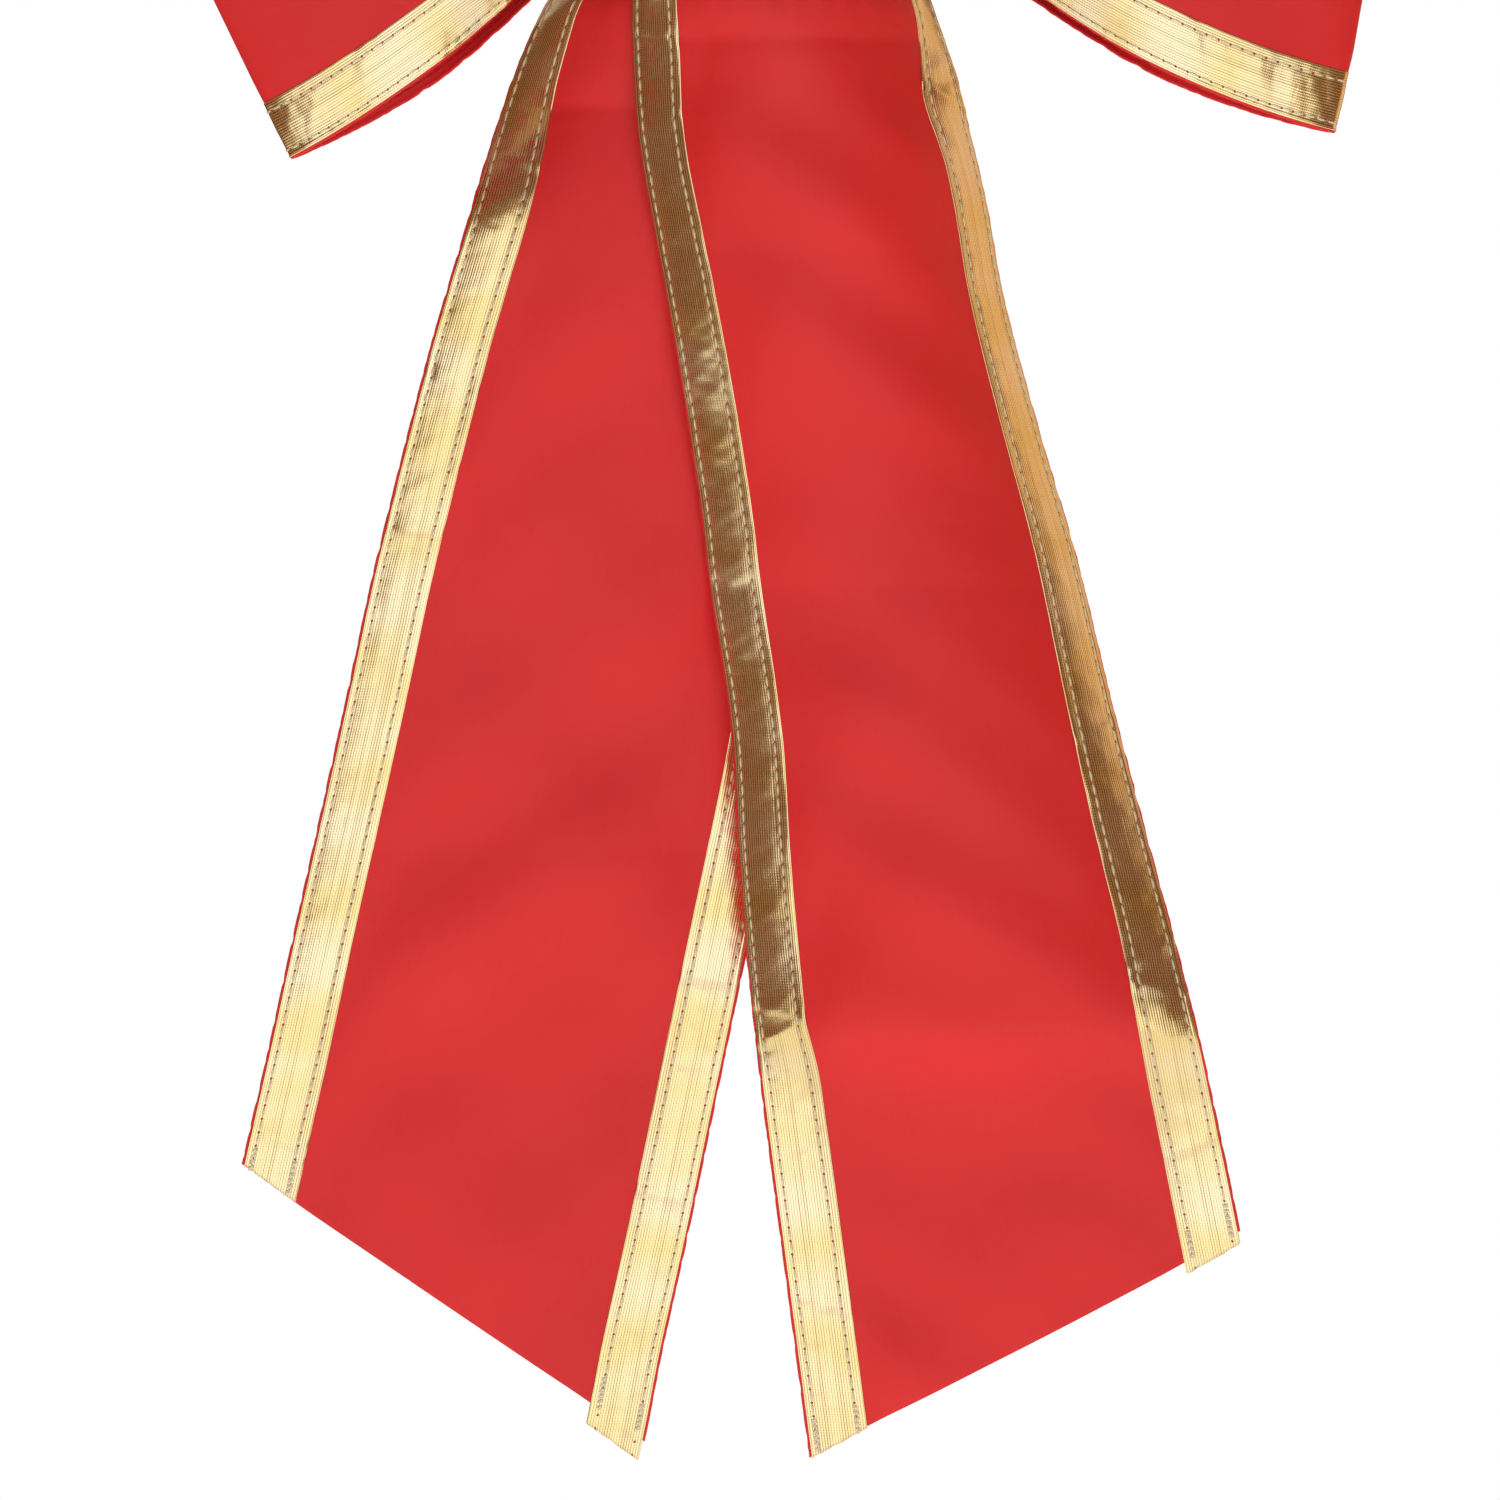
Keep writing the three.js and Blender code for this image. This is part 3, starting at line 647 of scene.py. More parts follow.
def build_tail(side, pleats, seed, behind=None):
    """One tail with its ribbons and seams."""
    cloth = bpy.context.scene.bow_cloth
    tail = TAILS[side]
    surface = tail_surface(tail, pleats, seed, behind)
    columns = cloth_columns(STRIP_WIDTH, STRIP_COLUMNS)
    share = np.linspace(0.0, 1.0, STRIP_ROWS)[:, None]
    along = share * tail_end(tail, columns)[None, :]
    across = np.broadcast_to(columns, along.shape)
    thickness = cloth_thickness(across, STRIP_WIDTH, cloth.thickness / MM, cloth.hem_thickness / MM)
    pitch = bpy.context.scene.bow_trims.stitch_length / MM
    moved = across + hem_pucker(across, STRIP_WIDTH, along, pitch, seed + 3)
    name = f"{side}_tail"
    satin = add_shell(name + "_satin", surface, moved, along, -thickness / 2, thickness / 2, "Red satin",
                      np.stack([across, along], axis=-1))
    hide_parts(name + "_cloth")
    pieces, trims = [], []
    for far in (False, True):
        trim = Trim(f"{name}_{tail['trims'][far]}", surface, STRIP_WIDTH, far, seed + 11 + far)
        over = tail["overhang"][far]

        def start(local):
            return np.zeros(np.shape(local))

        def end(local, trim=trim, over=over):
            return tail_end(tail, trim.across(local), over)

        ribbon = add_ribbon(trim, start, end)
        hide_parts(trim.name + "_ribbon")
        def seam_end(local, trim=trim):
            return tail_end(tail, trim.across(local))

        seams = add_topstitching(trim, start, seam_end)
        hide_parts(trim.name + "_edge_stitching", trim.name + "_field_stitching")
        pieces += [ribbon, seams]
        trims.append(trim)
    bobbin = add_bobbin_rows(name + "_inside_stitching", surface, trims, lambda trim, row: 0.0,
                             lambda trim, row: tail_end(tail, trim.across(row)))
    pieces.append(bobbin)
    for piece in [satin, *pieces]:
        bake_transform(piece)
    return surface


def build_loop(side, pleats, seed):
    """One loop with its ribbons and seams."""
    cloth = bpy.context.scene.bow_cloth
    loop = LOOPS[side]
    surface = loop_surface(loop, pleats, seed)
    columns = cloth_columns(STRIP_WIDTH, STRIP_COLUMNS)
    length = float(surface.along[-1])
    along = np.linspace(0.0, length, STRIP_ROWS)[:, None] + 0 * columns[None, :]
    across = np.broadcast_to(columns, along.shape)
    thickness = cloth_thickness(across, STRIP_WIDTH, cloth.thickness / MM, cloth.hem_thickness / MM)
    pitch = bpy.context.scene.bow_trims.stitch_length / MM
    moved = across + hem_pucker(across, STRIP_WIDTH, along, pitch, seed + 3)
    name = f"{side}_loop"
    satin = add_shell(name + "_satin", surface, moved, along, -thickness / 2, thickness / 2, "Red satin",
                      np.stack([across, along], axis=-1))
    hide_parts(name + "_cloth")
    pieces, trims = [], []
    for far, edge in ((False, "lower"), (True, "upper")):
        trim = Trim(f"{name}_{edge}", surface, STRIP_WIDTH, far, seed + 11 + far)

        def start(local):
            return np.zeros(np.shape(local))

        def end(local):
            return np.full(np.shape(local), length)

        ribbon = add_ribbon(trim, start, end)
        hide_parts(trim.name + "_ribbon")
        seams = add_topstitching(trim, start, end, tack=False)
        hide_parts(trim.name + "_edge_stitching", trim.name + "_field_stitching")
        pieces += [ribbon, seams]
        trims.append(trim)
    bobbin = add_bobbin_rows(name + "_inside_stitching", surface, trims, lambda trim, row: 0.0,
                             lambda trim, row: length)
    pieces.append(bobbin)
    for piece in [satin, *pieces]:
        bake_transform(piece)


def build_knot():
    """The wrapped knot: the band with its ribbons and seams, all on the knot's body."""
    cloth = bpy.context.scene.bow_cloth
    surface = band_surface()
    length = float(surface.along[-1])
    columns = cloth_columns(KNOT_WIDTH, 62)
    along = np.linspace(0.0, length, 241)[:-1, None] + 0 * columns[None, :]
    across = np.broadcast_to(columns, along.shape)
    thickness = cloth_thickness(across, KNOT_WIDTH, cloth.thickness / MM * 1.5, cloth.hem_thickness / MM)
    wrap = add_shell("knot_wrap", surface, across, along, -thickness / 2, thickness / 2, "Red satin",
                     np.stack([across, along], axis=-1), closed=True)
    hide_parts("knot_band")
    pieces = []
    for far, edge in ((False, "left"), (True, "right")):
        trim = Trim(f"knot_{edge}", surface, KNOT_WIDTH, far, 71 + far)
        trim.pitch = length / round(length / trim.pitch)

        def start(local):
            return np.zeros(np.shape(local))

        def end(local):
            return np.full(np.shape(local), length)

        ribbon = add_ribbon(trim, start, end, closed=True)
        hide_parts(trim.name + "_ribbon")
        seams = add_topstitching(trim, start, end, tack=False)
        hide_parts(trim.name + "_edge_stitching", trim.name + "_field_stitching")
        pieces += [ribbon, seams]
    for piece in [wrap, *pieces]:
        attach(piece, "knot")


def build_core():
    """The gathered middle of the loops' strip: an oval bundle with a waist for the tie. Its radius is one
    along the middle and rises to the ends, with sharp pleats round it."""
    rows, ring = 61, 192
    share = np.linspace(-1.0, 1.0, rows)[:, None]
    angle = np.linspace(0, 2 * math.pi, ring, endpoint=False)[None, :]
    waist = 0.55 + 0.42 * smoothstep(np.abs(share), 0.25, 1.0)
    pleat = 1 - 0.13 * np.abs(np.sin(11 * angle + 0.8 * np.sin(3 * angle + 2 * share))) ** 0.7
    end = np.sqrt(np.clip((1 - np.abs(share)) / 0.06, 0.0004, 1.0))
    radius = waist * pleat * end
    points = np.stack([np.broadcast_to(CORE_HALF_WIDTH * share, radius.shape),
                       KNOT_CENTRE_Y + CORE_DEPTH / 2 * radius * np.cos(angle),
                       CORE_HEIGHT / 2 * radius * np.sin(angle)], axis=-1)
    way = np.stack([angle * 13.0 + 0 * share, share * CORE_HALF_WIDTH + 0 * angle], axis=-1)
    core = add_mesh("gathered_middle", points.reshape(-1, 3), skin_faces(rows, ring), way.reshape(-1, 2),
                    "Red satin")
    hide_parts("gathered_core")
    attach(core, "knot")


def build_backing():
    """The backing square: two thicknesses of cloth folded over the tails' tops. Its middle line goes up the
    wall and then forward over a quarter round, and its edges are pressed thin."""
    low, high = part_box("backing_patch")
    width, bottom, top = (high.x - low.x) / MM, low.z / MM, high.z / MM
    front, wall = low.y / MM, 0.0
    thick = 2.3
    bend = 3.0
    rise = top - thick / 2 - bend - bottom - 0.3
    depth = -front - thick / 2 - bend
    quarter = bend * math.pi / 2
    length = rise + quarter + depth
    along = np.linspace(0.0, length, 161)
    turned = np.clip((along - rise) / bend, 0.0, math.pi / 2)
    past = np.maximum(along - rise - quarter, 0.0)
    y = wall - thick / 2 - bend * (1 - np.cos(turned)) - past
    z = bottom + 0.3 + np.minimum(along, rise) + bend * np.sin(turned)
    across = np.linspace(0.0, width, 113)
    x = across - width / 2
    grid = np.broadcast_arrays(x[None, :], y[:, None], z[:, None])
    surface = Surface(np.stack(grid, axis=-1), along, across, -1.0)
    edge = np.array([0.0, 0.2, 0.7, 1.4])
    columns, rows = (
        np.concatenate([edge, np.linspace(2.6, size - 2.6, 60), size - edge[::-1]])
        for size in (width, length)
    )
    from_sides = np.minimum(columns, width - columns)[None, :]
    from_ends = np.minimum(rows, length - rows)[:, None]
    inward = np.minimum(from_sides, from_ends)
    half = thick / 2 * np.sqrt(np.clip(inward / 1.4, 0.03, 1.0))
    seam_inset = 4.5
    seam = np.exp(-(((inward - seam_inset) / 0.8) ** 2))
    half = half - 0.35 * seam
    grid_across, grid_along = np.broadcast_arrays(columns[None, :], rows[:, None])
    square = add_shell("backing_square", surface, grid_across, grid_along, -half, half, "Red satin")
    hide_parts("backing_patch")
    pitch = bpy.context.scene.bow_trims.stitch_length / MM
    starts, places = [], []
    for place in (seam_inset, width - seam_inset):
        row = np.arange(5.0, length - 5.0 - pitch, pitch)
        starts.append(row)
        places.append(np.full(len(row), place))
    starts, places = np.concatenate(starts), np.concatenate(places)
    lengths = np.full(len(starts), pitch - 0.7)

    def sunk(across, along):
        return thick / 2 - 0.42 + 0 * along

    seams = add_stitches("backing_stitching", surface, places, starts, lengths, sunk, 0.22, "Red thread",
                         bow=0.12)
    for piece in (square, seams):
        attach(piece, "knot")


# Finishes. A link is a socket, and a value is a number or a colour that is set on the input.


def put(tree, kind, inputs=None, **settings):
    """Adds a node, gives it its settings, and links or sets its inputs."""
    made = tree.nodes.new(kind)
    for key, value in settings.items():
        setattr(made, key, value)
    for key, value in (inputs or {}).items():
        if isinstance(value, bpy.types.NodeSocket):
            tree.links.new(value, made.inputs[key])
        else:
            made.inputs[key].default_value = value
    return made


def sums(tree, operation, first, second=0.0, third=0.0):
    """One step of arithmetic."""
    wires = {0: first, 1: second, 2: third}
    return put(tree, "ShaderNodeMath", wires, operation=operation).outputs[0]


def spread(tree, value, low, high, to_low=0.0, to_high=1.0):
    """Carries a value smoothly from one range to another."""
    wires = {"Value": value, "From Min": low, "From Max": high, "To Min": to_low, "To Max": to_high}
    return put(tree, "ShaderNodeMapRange", wires, interpolation_type="SMOOTHSTEP").outputs["Result"]


def new_group(name, inputs, outputs):
    """An empty shader group with named inputs and outputs."""
    tree = bpy.data.node_groups.new(name, "ShaderNodeTree")
    for label, kind, default in inputs:
        socket = tree.interface.new_socket(label, in_out="INPUT", socket_type=kind)
        if default is not None:
            socket.default_value = default
    for label in outputs:
        tree.interface.new_socket(label, in_out="OUTPUT", socket_type="NodeSocketFloat")
    return tree, tree.nodes.new("NodeGroupInput"), tree.nodes.new("NodeGroupOutput")


def weave_group():
    """Woven threads: the product of two sines, one across and one along, gives the overs and unders, and
    ribs are a sine across alone."""
    tree, given, result = new_group(
        "Woven threads",
        [("Way", "NodeSocketVector", None), ("Thread pitch", "NodeSocketFloat", 0.0004),
         ("Rib share", "NodeSocketFloat", 0.0)],
        ["Height"],
    )
    parts = put(tree, "ShaderNodeSeparateXYZ", {0: given.outputs["Way"]})
    turns = sums(tree, "DIVIDE", 2 * math.pi, given.outputs["Thread pitch"])
    over = sums(tree, "SINE", sums(tree, "MULTIPLY", parts.outputs["X"], turns))
    down = sums(tree, "SINE", sums(tree, "MULTIPLY", parts.outputs["Y"], turns))
    plain = sums(tree, "MULTIPLY", over, down)
    wires = {"Factor": given.outputs["Rib share"], "A": plain, "B": over}
    mixed = put(tree, "ShaderNodeMix", wires, data_type="FLOAT")
    height = sums(tree, "MULTIPLY_ADD", mixed.outputs[0], 0.5, 0.5)
    tree.links.new(height, result.inputs["Height"])


def crush_group():
    """Soft creases: noise stretched by its own amounts across and along the cloth."""
    tree, given, result = new_group(
        "Soft creases",
        [("Way", "NodeSocketVector", None), ("Across scale", "NodeSocketFloat", 60.0),
         ("Along scale", "NodeSocketFloat", 140.0), ("Detail", "NodeSocketFloat", 3.0)],
        ["Height", "Patch"],
    )
    scales = {0: given.outputs["Across scale"], 1: given.outputs["Along scale"], 2: 1.0}
    stretch = put(tree, "ShaderNodeCombineXYZ", scales)
    wires = {0: given.outputs["Way"], 1: stretch.outputs[0]}
    place = put(tree, "ShaderNodeVectorMath", wires, operation="MULTIPLY")
    wires = {"Vector": place.outputs[0], "Scale": 1.0, "Detail": given.outputs["Detail"], "Roughness": 0.55,
             "Distortion": 0.6}
    fine = put(tree, "ShaderNodeTexNoise", wires)
    broad = put(tree, "ShaderNodeTexNoise", {"Vector": place.outputs[0], "Scale": 0.31, "Detail": 1.0})
    tree.links.new(fine.outputs["Fac"], result.inputs["Height"])
    tree.links.new(spread(tree, broad.outputs["Fac"], 0.32, 0.68), result.inputs["Patch"])


def needle_group():
    """Needle holes of one seam: nearness to a point repeated along the row at the stitch pitch."""
    tree, given, result = new_group(
        "Needle holes",
        [("Way", "NodeSocketVector", None), ("Row", "NodeSocketFloat", EDGE_ROW * MM),
         ("Pitch", "NodeSocketFloat", 0.0045)],
        ["Hole"],
    )
    parts = put(tree, "ShaderNodeSeparateXYZ", {0: given.outputs["Way"]})
    beside = sums(tree, "SUBTRACT", parts.outputs["X"], given.outputs["Row"])
    half = sums(tree, "MULTIPLY", given.outputs["Pitch"], 0.5)
    ahead = sums(tree, "SUBTRACT", sums(tree, "FLOORED_MODULO", sums(tree, "ADD", parts.outputs["Y"], half),
                                        given.outputs["Pitch"]), half)
    squares = sums(tree, "ADD", sums(tree, "MULTIPLY", beside, beside), sums(tree, "MULTIPLY", ahead, ahead))
    hole = spread(tree, sums(tree, "SQRT", squares), 0.00024, 0.0005, 1.0, 0.0)
    tree.links.new(hole, result.inputs["Hole"])


def use_group(tree, name, **inputs):
    """Places a shared group in a material with that material's own values."""
    made = tree.nodes.new("ShaderNodeGroup")
    made.node_tree = bpy.data.node_groups[name]
    for key, value in inputs.items():
        key = key.replace("_", " ")
        if isinstance(value, bpy.types.NodeSocket):
            tree.links.new(value, made.inputs[key])
        else:
            made.inputs[key].default_value = value
    return made.outputs


def new_finish(name):
    """A material with its shader, and the cloth's own way over it in metres."""
    material = bpy.data.materials.new(name)
    material.use_nodes = True
    tree = material.node_tree
    shader = tree.nodes["Principled BSDF"]
    way = put(tree, "ShaderNodeUVMap", uv_map="Cloth way").outputs["UV"]
    return tree, shader, way


def colour_mix(tree, factor, first, second):
    """Two colours mixed by a factor: the colour sockets of a mix node are its seventh and eighth."""
    mix = tree.nodes.new("ShaderNodeMix")
    mix.data_type = "RGBA"
    for index, value in ((0, factor), (6, first), (7, second)):
        if isinstance(value, bpy.types.NodeSocket):
            tree.links.new(value, mix.inputs[index])
        else:
            mix.inputs[index].default_value = value
    return mix.outputs[2]


def bump(tree, height, distance, strength=1.0, normal=None):
    """A bump of that height in metres, over an earlier one if given."""
    wires = {"Height": height, "Distance": distance, "Strength": strength}
    if normal is not None:
        wires["Normal"] = normal
    return put(tree, "ShaderNodeBump", wires).outputs["Normal"]


def shade(colour, factor):
    """A colour made lighter or darker, as four numbers."""
    return (*(min(1.0, c * factor) for c in colour[:3]), 1.0)


def make_satin():
    """Red satin: finely plain-woven with a painted highlight on raised threads, faint slubs and soft creases.
    """
    cloth = bpy.context.scene.bow_cloth
    tree, shader, way = new_finish("Red satin")
    weave_relief_and_highlight = use_group(tree, "Woven threads", Way=way, Thread_pitch=0.00042)["Height"]
    soft = use_group(tree, "Soft creases", Way=way, Across_scale=16.0, Along_scale=22.0, Detail=2.0)
    slubs = use_group(tree, "Soft creases", Way=way, Across_scale=900.0, Along_scale=120.0, Detail=2.0)
    base = colour_mix(tree, soft["Patch"], shade(cloth.colour, 0.93), shade(cloth.colour, 1.05))
    # Lighter where the woven threads stand highest: a painted highlight on the thread crests.
    base = colour_mix(tree, sums(tree, "MULTIPLY", weave_relief_and_highlight, 0.16), base, shade(cloth.colour, 1.5))
    base = colour_mix(tree, sums(tree, "MULTIPLY", slubs["Height"], 0.14), base, shade(cloth.colour, 0.7))
    tree.links.new(base, shader.inputs["Base Color"])
    rough = sums(tree, "MULTIPLY_ADD", slubs["Height"], 0.12, 0.46)
    tree.links.new(rough, shader.inputs["Roughness"])
    normal = bump(tree, soft["Height"], 0.0022, 0.5)
    normal = bump(tree, weave_relief_and_highlight, 0.00006, 0.6, normal)
    tree.links.new(normal, shader.inputs["Normal"])
    shader.inputs["Specular IOR Level"].default_value = 0.35
    shader.inputs["Sheen Weight"].default_value = 0.06
    shader.inputs["Sheen Roughness"].default_value = 0.4
    shader.inputs["Sheen Tint"].default_value = (1.0, 0.3, 0.25, 1.0)


def make_gold():
    """Gold ribbon: metal ribs along it over a brown core yarn that shows in the gaps, a fine weft across,
    soft creases, lengthwise streaks and reddish needle holes."""
    trims = bpy.context.scene.bow_trims
    tree, shader, way = new_finish("Gold ribbon")
    ribs = use_group(tree, "Woven threads", Way=way, Thread_pitch=trims.rib_pitch, Rib_share=0.75)["Height"]
    crush = use_group(tree, "Soft creases", Way=way, Across_scale=55.0, Along_scale=130.0, Detail=2.0)
    drawn = use_group(tree, "Soft creases", Way=way, Across_scale=520.0, Along_scale=8.0, Detail=2.0)
    streaks = drawn["Height"]
    edge_holes, field_holes = (
        use_group(tree, "Needle holes", Way=way, Row=row * MM, Pitch=trims.stitch_length)["Hole"]
        for row in (EDGE_ROW, FIELD_ROW)
    )
    holes = sums(tree, "MAXIMUM", edge_holes, field_holes)
    share = spread(tree, streaks, 0.35, 0.65, trims.gap_share * 0.55, trims.gap_share)
    gaps = sums(tree, "MULTIPLY", spread(tree, ribs, 0.05, 0.55, 1.0, 0.0), share)
    bare = sums(tree, "MAXIMUM", gaps, holes)
    # Pale and deep gold in broad soft patches: a painted reflection, standing in for the light that the
    # crinkles catch.
    base = colour_mix(tree, crush["Patch"], trims.gold_pale, trims.gold_deep)
    base = colour_mix(tree, spread(tree, streaks, 0.46, 0.7, 0.0, 0.25), base, shade(trims.gold_deep, 0.6))
    base = colour_mix(tree, gaps, base, trims.core_colour)
    base = colour_mix(tree, holes, base, (0.5, 0.13, 0.035, 1.0))
    tree.links.new(base, shader.inputs["Base Color"])
    tree.links.new(sums(tree, "SUBTRACT", 1.0, bare), shader.inputs["Metallic"])
    rough = sums(tree, "MULTIPLY_ADD", crush["Height"], 0.1, 0.13)
    tree.links.new(sums(tree, "MULTIPLY_ADD", bare, 0.3, rough), shader.inputs["Roughness"])
    normal = bump(tree, crush["Height"], 0.0003, 0.3)
    normal = bump(tree, streaks, 0.00012, 0.6, normal)
    normal = bump(tree, ribs, 0.00006, 0.6, normal)
    normal = bump(tree, sums(tree, "SUBTRACT", 1.0, holes), 0.0003, 0.8, normal)
    tree.links.new(normal, shader.inputs["Normal"])
    shader.inputs["Specular IOR Level"].default_value = 0.2


def make_thread(name, colour):
    """Sewing thread: two twisted strands as slanting ridges, with painted shade and highlight on them."""
    tree, shader, way = new_finish(name)
    parts = put(tree, "ShaderNodeSeparateXYZ", {0: way})
    slant = sums(tree, "MULTIPLY_ADD", parts.outputs["X"], 0.9, parts.outputs["Y"])
    ply_pitch = 0.0007
    turned = sums(tree, "SINE", sums(tree, "MULTIPLY", slant, 2 * math.pi / ply_pitch))
    ply_relief_and_shade = sums(tree, "MULTIPLY_ADD", turned, 0.5, 0.5)
    # Darker in the grooves between the strands and lighter on their crests: painted shade and a painted
    # highlight.
    base = colour_mix(tree, ply_relief_and_shade, shade(colour, 0.82), shade(colour, 1.1))
    tree.links.new(base, shader.inputs["Base Color"])
    tree.links.new(bump(tree, ply_relief_and_shade, 0.00012, 0.8), shader.inputs["Normal"])
    shader.inputs["Roughness"].default_value = 0.4
    shader.inputs["Metallic"].default_value = 0.35


def make_nylon():
    """Natural nylon: a moulded strap with fine ratchet ridges and a cloudy, slightly waxy surface."""
    tree, shader, _ = new_finish("Natural nylon")
    here = put(tree, "ShaderNodeTexCoord").outputs["Object"]
    wires = {"Vector": here, "Scale": 260.0, "Distortion": 0.0}
    ridges = put(tree, "ShaderNodeTexWave", wires, bands_direction="DIAGONAL")
    cloud = put(tree, "ShaderNodeTexNoise", {"Vector": here, "Scale": 240.0, "Detail": 3.0})
    base = colour_mix(tree, cloud.outputs["Fac"], (0.72, 0.7, 0.64, 1.0), (0.86, 0.85, 0.8, 1.0))
    tree.links.new(base, shader.inputs["Base Color"])
    tree.links.new(spread(tree, cloud.outputs["Fac"], 0.2, 0.8, 0.32, 0.5), shader.inputs["Roughness"])
    normal = bump(tree, ridges.outputs["Fac"], 0.0002, 0.5)
    tree.links.new(normal, shader.inputs["Normal"])
    shader.inputs["Subsurface Weight"].default_value = 0.15
    shader.inputs["Subsurface Radius"].default_value = (0.002, 0.002, 0.0018)


def make_floor():
    """A plain pale floor with a faint grain."""
    tree, shader, _ = new_finish("Pale floor")
    here = put(tree, "ShaderNodeTexCoord").outputs["Object"]
    grain = put(tree, "ShaderNodeTexNoise", {"Vector": here, "Scale": 45.0, "Detail": 4.0})
    base = colour_mix(tree, grain.outputs["Fac"], (0.85, 0.85, 0.84, 1.0), (0.9, 0.9, 0.89, 1.0))
    tree.links.new(base, shader.inputs["Base Color"])
    shader.inputs["Roughness"].default_value = 0.7


def add_light(name, place, aim, size, radiance, colour=(1.0, 1.0, 1.0)):
    """A soft oblong light at a place, turned to its aim. Its power is pi times its area times its
    radiance."""
    light = bpy.data.lights.new(name, "AREA")
    light.shape = "RECTANGLE"
    light.size, light.size_y = size
    light.energy = math.pi * size[0] * size[1] * radiance
    light.color = colour
    obj = bpy.data.objects.new(name, light)
    obj.location = place
    obj.rotation_euler = (Vector(aim) - Vector(place)).to_track_quat("-Z", "Y").to_euler()
    obj.visible_camera = False
    bpy.context.scene.collection.objects.link(obj)


def build_stage():
    """The floor, the light and the camera."""
    scene = bpy.context.scene
    stage = scene.bow_stage
    radius, level = 1.3, -0.8
    angle = np.linspace(0, 2 * math.pi, 96, endpoint=False)
    rim = np.stack([radius * np.cos(angle), radius * np.sin(angle), 0 * angle + level], axis=-1)
    mesh = bpy.data.meshes.new("floor")
    mesh.from_pydata(rim.tolist(), [], [list(range(len(angle)))])
    floor = bpy.data.objects.new("floor", mesh)
    mesh.materials.append(bpy.data.materials["Pale floor"])
    scene.collection.objects.link(floor)
    world = bpy.data.worlds.new("Studio")
    world.use_nodes = True
    tree = world.node_tree
    room = tree.nodes["Background"]
    room.inputs["Color"].default_value = (*stage.room_colour, 1.0)
    room.inputs["Strength"].default_value = 1.0
    seen = put(tree, "ShaderNodeBackground", {"Color": (1.0, 1.0, 1.0, 1.0), "Strength": 1.0})
    rays = put(tree, "ShaderNodeLightPath")
    wires = {0: rays.outputs["Is Camera Ray"], 1: room.outputs[0], 2: seen.outputs[0]}
    mix = put(tree, "ShaderNodeMixShader", wires)
    tree.links.new(mix.outputs[0], tree.nodes["World Output"].inputs["Surface"])
    scene.world = world
    middle = (0.0, -0.03, -0.3)
    add_light("front softbox", (-0.05, -2.0, -1.0), middle, (3.8, 4.2), stage.front_light)
    add_light("right fill", (2.4, 1.25, 0.0), middle, (3.2, 2.4), 0.72, (1.0, 0.66, 0.42))
    add_light("back fill", (-1.2, 2.6, 0.9), middle, (2.6, 2.0), 0.6)
    add_light("top light", (0.0, 0.0, 2.6), (0.0, 0.001, 0.0), (2.4, 2.4), 1.4)
    add_light("floor wash", (0.0, 0.0, -0.61), (0.0, 0.001, -1.0), (2.6, 2.6), 0.72)
    camera = bpy.data.cameras.new("camera")
    camera.sensor_width = 36.0
    distance = stage.camera_distance
    camera.lens = camera.sensor_width * distance / stage.view_width
    eye = bpy.data.objects.new("camera", camera)
    eye.location = (-0.004, -0.02 - distance, -0.3217)
    eye.rotation_euler = (math.pi / 2, 0, 0)
    scene.collection.objects.link(eye)
    scene.camera = eye
    scene.view_settings.view_transform = "Standard"


class BowClothSettings(bpy.types.PropertyGroup):
    """The red cloth"""

    thickness: bpy.props.FloatProperty(
        name="Cloth thickness", description="Thickness of the red satin", default=0.00036, min=0.0001,
        max=0.002, precision=5, subtype="DISTANCE", unit="LENGTH",
    )
    hem_thickness: bpy.props.FloatProperty(
        name="Hem thickness", description="Thickness of the folded and pressed edge", default=0.0009,
        min=0.0002, max=0.004, precision=5, subtype="DISTANCE", unit="LENGTH",
    )
    tail_pleats: bpy.props.IntProperty(
        name="Tail pleats", description="How many folds gather a tail behind the knot", default=12,
        min=3, max=16,
    )
    loop_pleats: bpy.props.IntProperty(
        name="Loop pleats", description="How many folds gather a loop beside the knot", default=7,
        min=3, max=14,
    )
    colour: bpy.props.FloatVectorProperty(
        name="Cloth colour", description="Colour of the red satin", default=(0.82, 0.026, 0.029),
        min=0.0, max=1.0, size=3, subtype="COLOR",
    )


class BowTrimSettings(bpy.types.PropertyGroup):
    """The gold ribbon and its seams"""

    stitch_length: bpy.props.FloatProperty(
        name="Stitch length", description="From one needle hole to the next", default=0.0045, min=0.001,
        max=0.01, precision=5, subtype="DISTANCE", unit="LENGTH",
    )
    thread_width: bpy.props.FloatProperty(
        name="Thread width", description="Width of the gold sewing thread", default=0.0008, min=0.0001,
        max=0.002, precision=5, subtype="DISTANCE", unit="LENGTH",
    )
    rib_pitch: bpy.props.FloatProperty(
        name="Rib pitch", description="From one rib of the ribbon to the next", default=0.0009,
        min=0.0002, max=0.003, precision=5, subtype="DISTANCE", unit="LENGTH",
    )
    gold_pale: bpy.props.FloatVectorProperty(
        name="Pale gold", description="Lighter colour of the metal ribbon",
        default=(0.96, 0.9, 0.6, 1.0), min=0.0, max=1.0, size=4, subtype="COLOR",
    )
    gold_deep: bpy.props.FloatVectorProperty(
        name="Deep gold", description="Deeper colour of the metal ribbon",
        default=(0.92, 0.8, 0.38, 1.0), min=0.0, max=1.0, size=4, subtype="COLOR",
    )
    core_colour: bpy.props.FloatVectorProperty(
        name="Core yarn", description="Brown of the yarn that the metal is wound on",
        default=(0.32, 0.095, 0.01, 1.0), min=0.0, max=1.0, size=4, subtype="COLOR",
    )
    gap_share: bpy.props.FloatProperty(
        name="Gap share", description="How much of the core yarn shows between two ribs", default=0.68,
        min=0.0, max=1.0, subtype="FACTOR",
    )
    thread_colour: bpy.props.FloatVectorProperty(
        name="Thread colour", description="Colour of the gold sewing thread", default=(1.0, 0.94, 0.7),
        min=0.0, max=1.0, size=3, subtype="COLOR",
    )


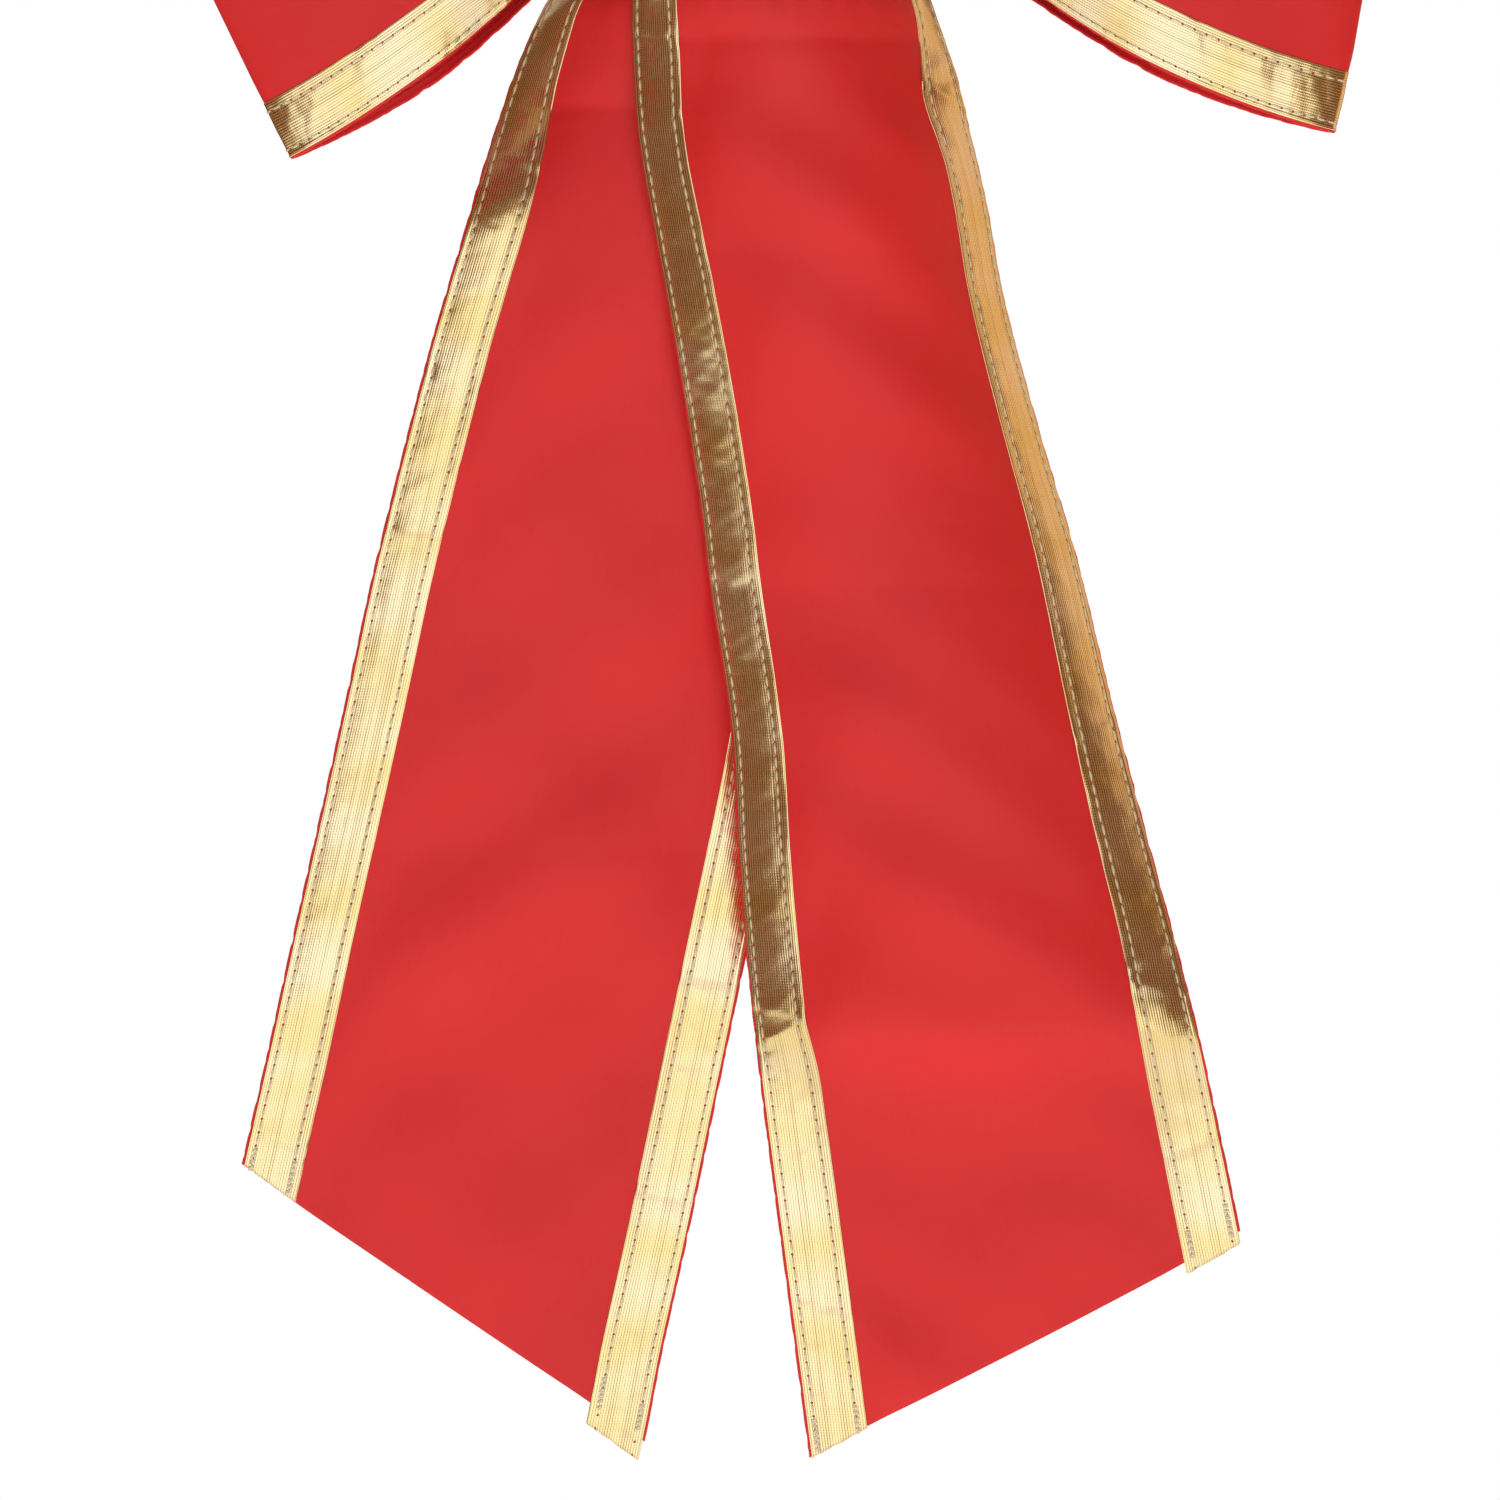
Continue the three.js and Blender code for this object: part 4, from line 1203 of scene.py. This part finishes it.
class BowStageSettings(bpy.types.PropertyGroup):
    """The light and the camera"""

    front_light: bpy.props.FloatProperty(
        name="Front light", description="Radiance of the front softbox", default=1.15, min=0.0,
        max=10.0,
    )
    room_colour: bpy.props.FloatVectorProperty(
        name="Room colour", description="Light that comes from the room all round",
        default=(0.17, 0.052, 0.01), min=0.0, max=1.0, size=3, subtype="COLOR",
    )
    camera_distance: bpy.props.FloatProperty(
        name="Camera distance", description="From the bow to the camera", default=5.0, min=0.5,
        max=20.0, subtype="DISTANCE", unit="LENGTH",
    )
    view_width: bpy.props.FloatProperty(
        name="View width", description="Width of the picture at the bow", default=0.5, min=0.1, max=3.0,
        subtype="DISTANCE", unit="LENGTH",
    )


class BOW_OT_finishes(bpy.types.Operator):
    """Make the bow's materials"""

    bl_idname = "bow.finishes"
    bl_label = "Make finishes"

    def execute(self, context):
        weave_group()
        crush_group()
        needle_group()
        make_satin()
        make_gold()
        make_thread("Gold thread", context.scene.bow_trims.thread_colour)
        make_thread("Red thread", shade(context.scene.bow_cloth.colour, 0.8))
        make_nylon()
        make_floor()
        return {"FINISHED"}


class BOW_OT_tails(bpy.types.Operator):
    """Sew both tails"""

    bl_idname = "bow.tails"
    bl_label = "Sew tails"

    def execute(self, context):
        pleats = context.scene.bow_cloth.tail_pleats
        left = build_tail("left", pleats, 5)
        build_tail("right", pleats + 1, 8, behind=left)
        return {"FINISHED"}


class BOW_OT_loops(bpy.types.Operator):
    """Sew both loops"""

    bl_idname = "bow.loops"
    bl_label = "Sew loops"

    def execute(self, context):
        pleats = context.scene.bow_cloth.loop_pleats
        build_loop("left", pleats, 23)
        build_loop("right", pleats, 29)
        return {"FINISHED"}


class BOW_OT_knot(bpy.types.Operator):
    """Wrap the knot, gather its core, tie it and add its backing"""

    bl_idname = "bow.knot"
    bl_label = "Wrap knot"

    def execute(self, context):
        build_core()
        build_backing()
        build_knot()
        for node in ("cinch_tie", "cinch_tie_head"):
            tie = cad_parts[node]
            tie.data.materials.clear()
            tie.data.materials.append(bpy.data.materials["Natural nylon"])
        return {"FINISHED"}


class BOW_OT_stage(bpy.types.Operator):
    """Set up the floor, the light and the camera"""

    bl_idname = "bow.stage"
    bl_label = "Set stage"

    def execute(self, context):
        build_stage()
        return {"FINISHED"}


class BOW_PT_panel(bpy.types.Panel):
    """The bow's settings and steps"""

    bl_idname = "BOW_PT_panel"
    bl_label = "Gift Bow"
    bl_space_type = "VIEW_3D"
    bl_region_type = "UI"
    bl_category = "Gift Bow"

    def draw(self, context):
        for settings in (context.scene.bow_cloth, context.scene.bow_trims, context.scene.bow_stage):
            box = self.layout.box()
            for name in settings.bl_rna.properties.keys():
                if name not in ("rna_type", "name"):
                    box.prop(settings, name)
        for operator in (BOW_OT_finishes, BOW_OT_tails, BOW_OT_loops, BOW_OT_knot, BOW_OT_stage):
            self.layout.operator(operator.bl_idname)


CLASSES = (BowClothSettings, BowTrimSettings, BowStageSettings, BOW_OT_finishes, BOW_OT_tails, BOW_OT_loops,
           BOW_OT_knot, BOW_OT_stage, BOW_PT_panel)


def register():
    """Registers the classes and hangs the settings on the scene."""
    for cls in CLASSES:
        bpy.utils.register_class(cls)
    bpy.types.Scene.bow_cloth = bpy.props.PointerProperty(type=BowClothSettings)
    bpy.types.Scene.bow_trims = bpy.props.PointerProperty(type=BowTrimSettings)
    bpy.types.Scene.bow_stage = bpy.props.PointerProperty(type=BowStageSettings)


def unregister():
    """Takes the settings and the classes away again."""
    del bpy.types.Scene.bow_cloth, bpy.types.Scene.bow_trims, bpy.types.Scene.bow_stage
    for cls in reversed(CLASSES):
        bpy.utils.unregister_class(cls)


def main():
    """Builds the bow and its stage."""
    register()
    bpy.ops.bow.finishes()
    bpy.ops.bow.tails()
    bpy.ops.bow.loops()
    bpy.ops.bow.knot()
    bpy.ops.bow.stage()


if __name__ == "__main__":
    main()
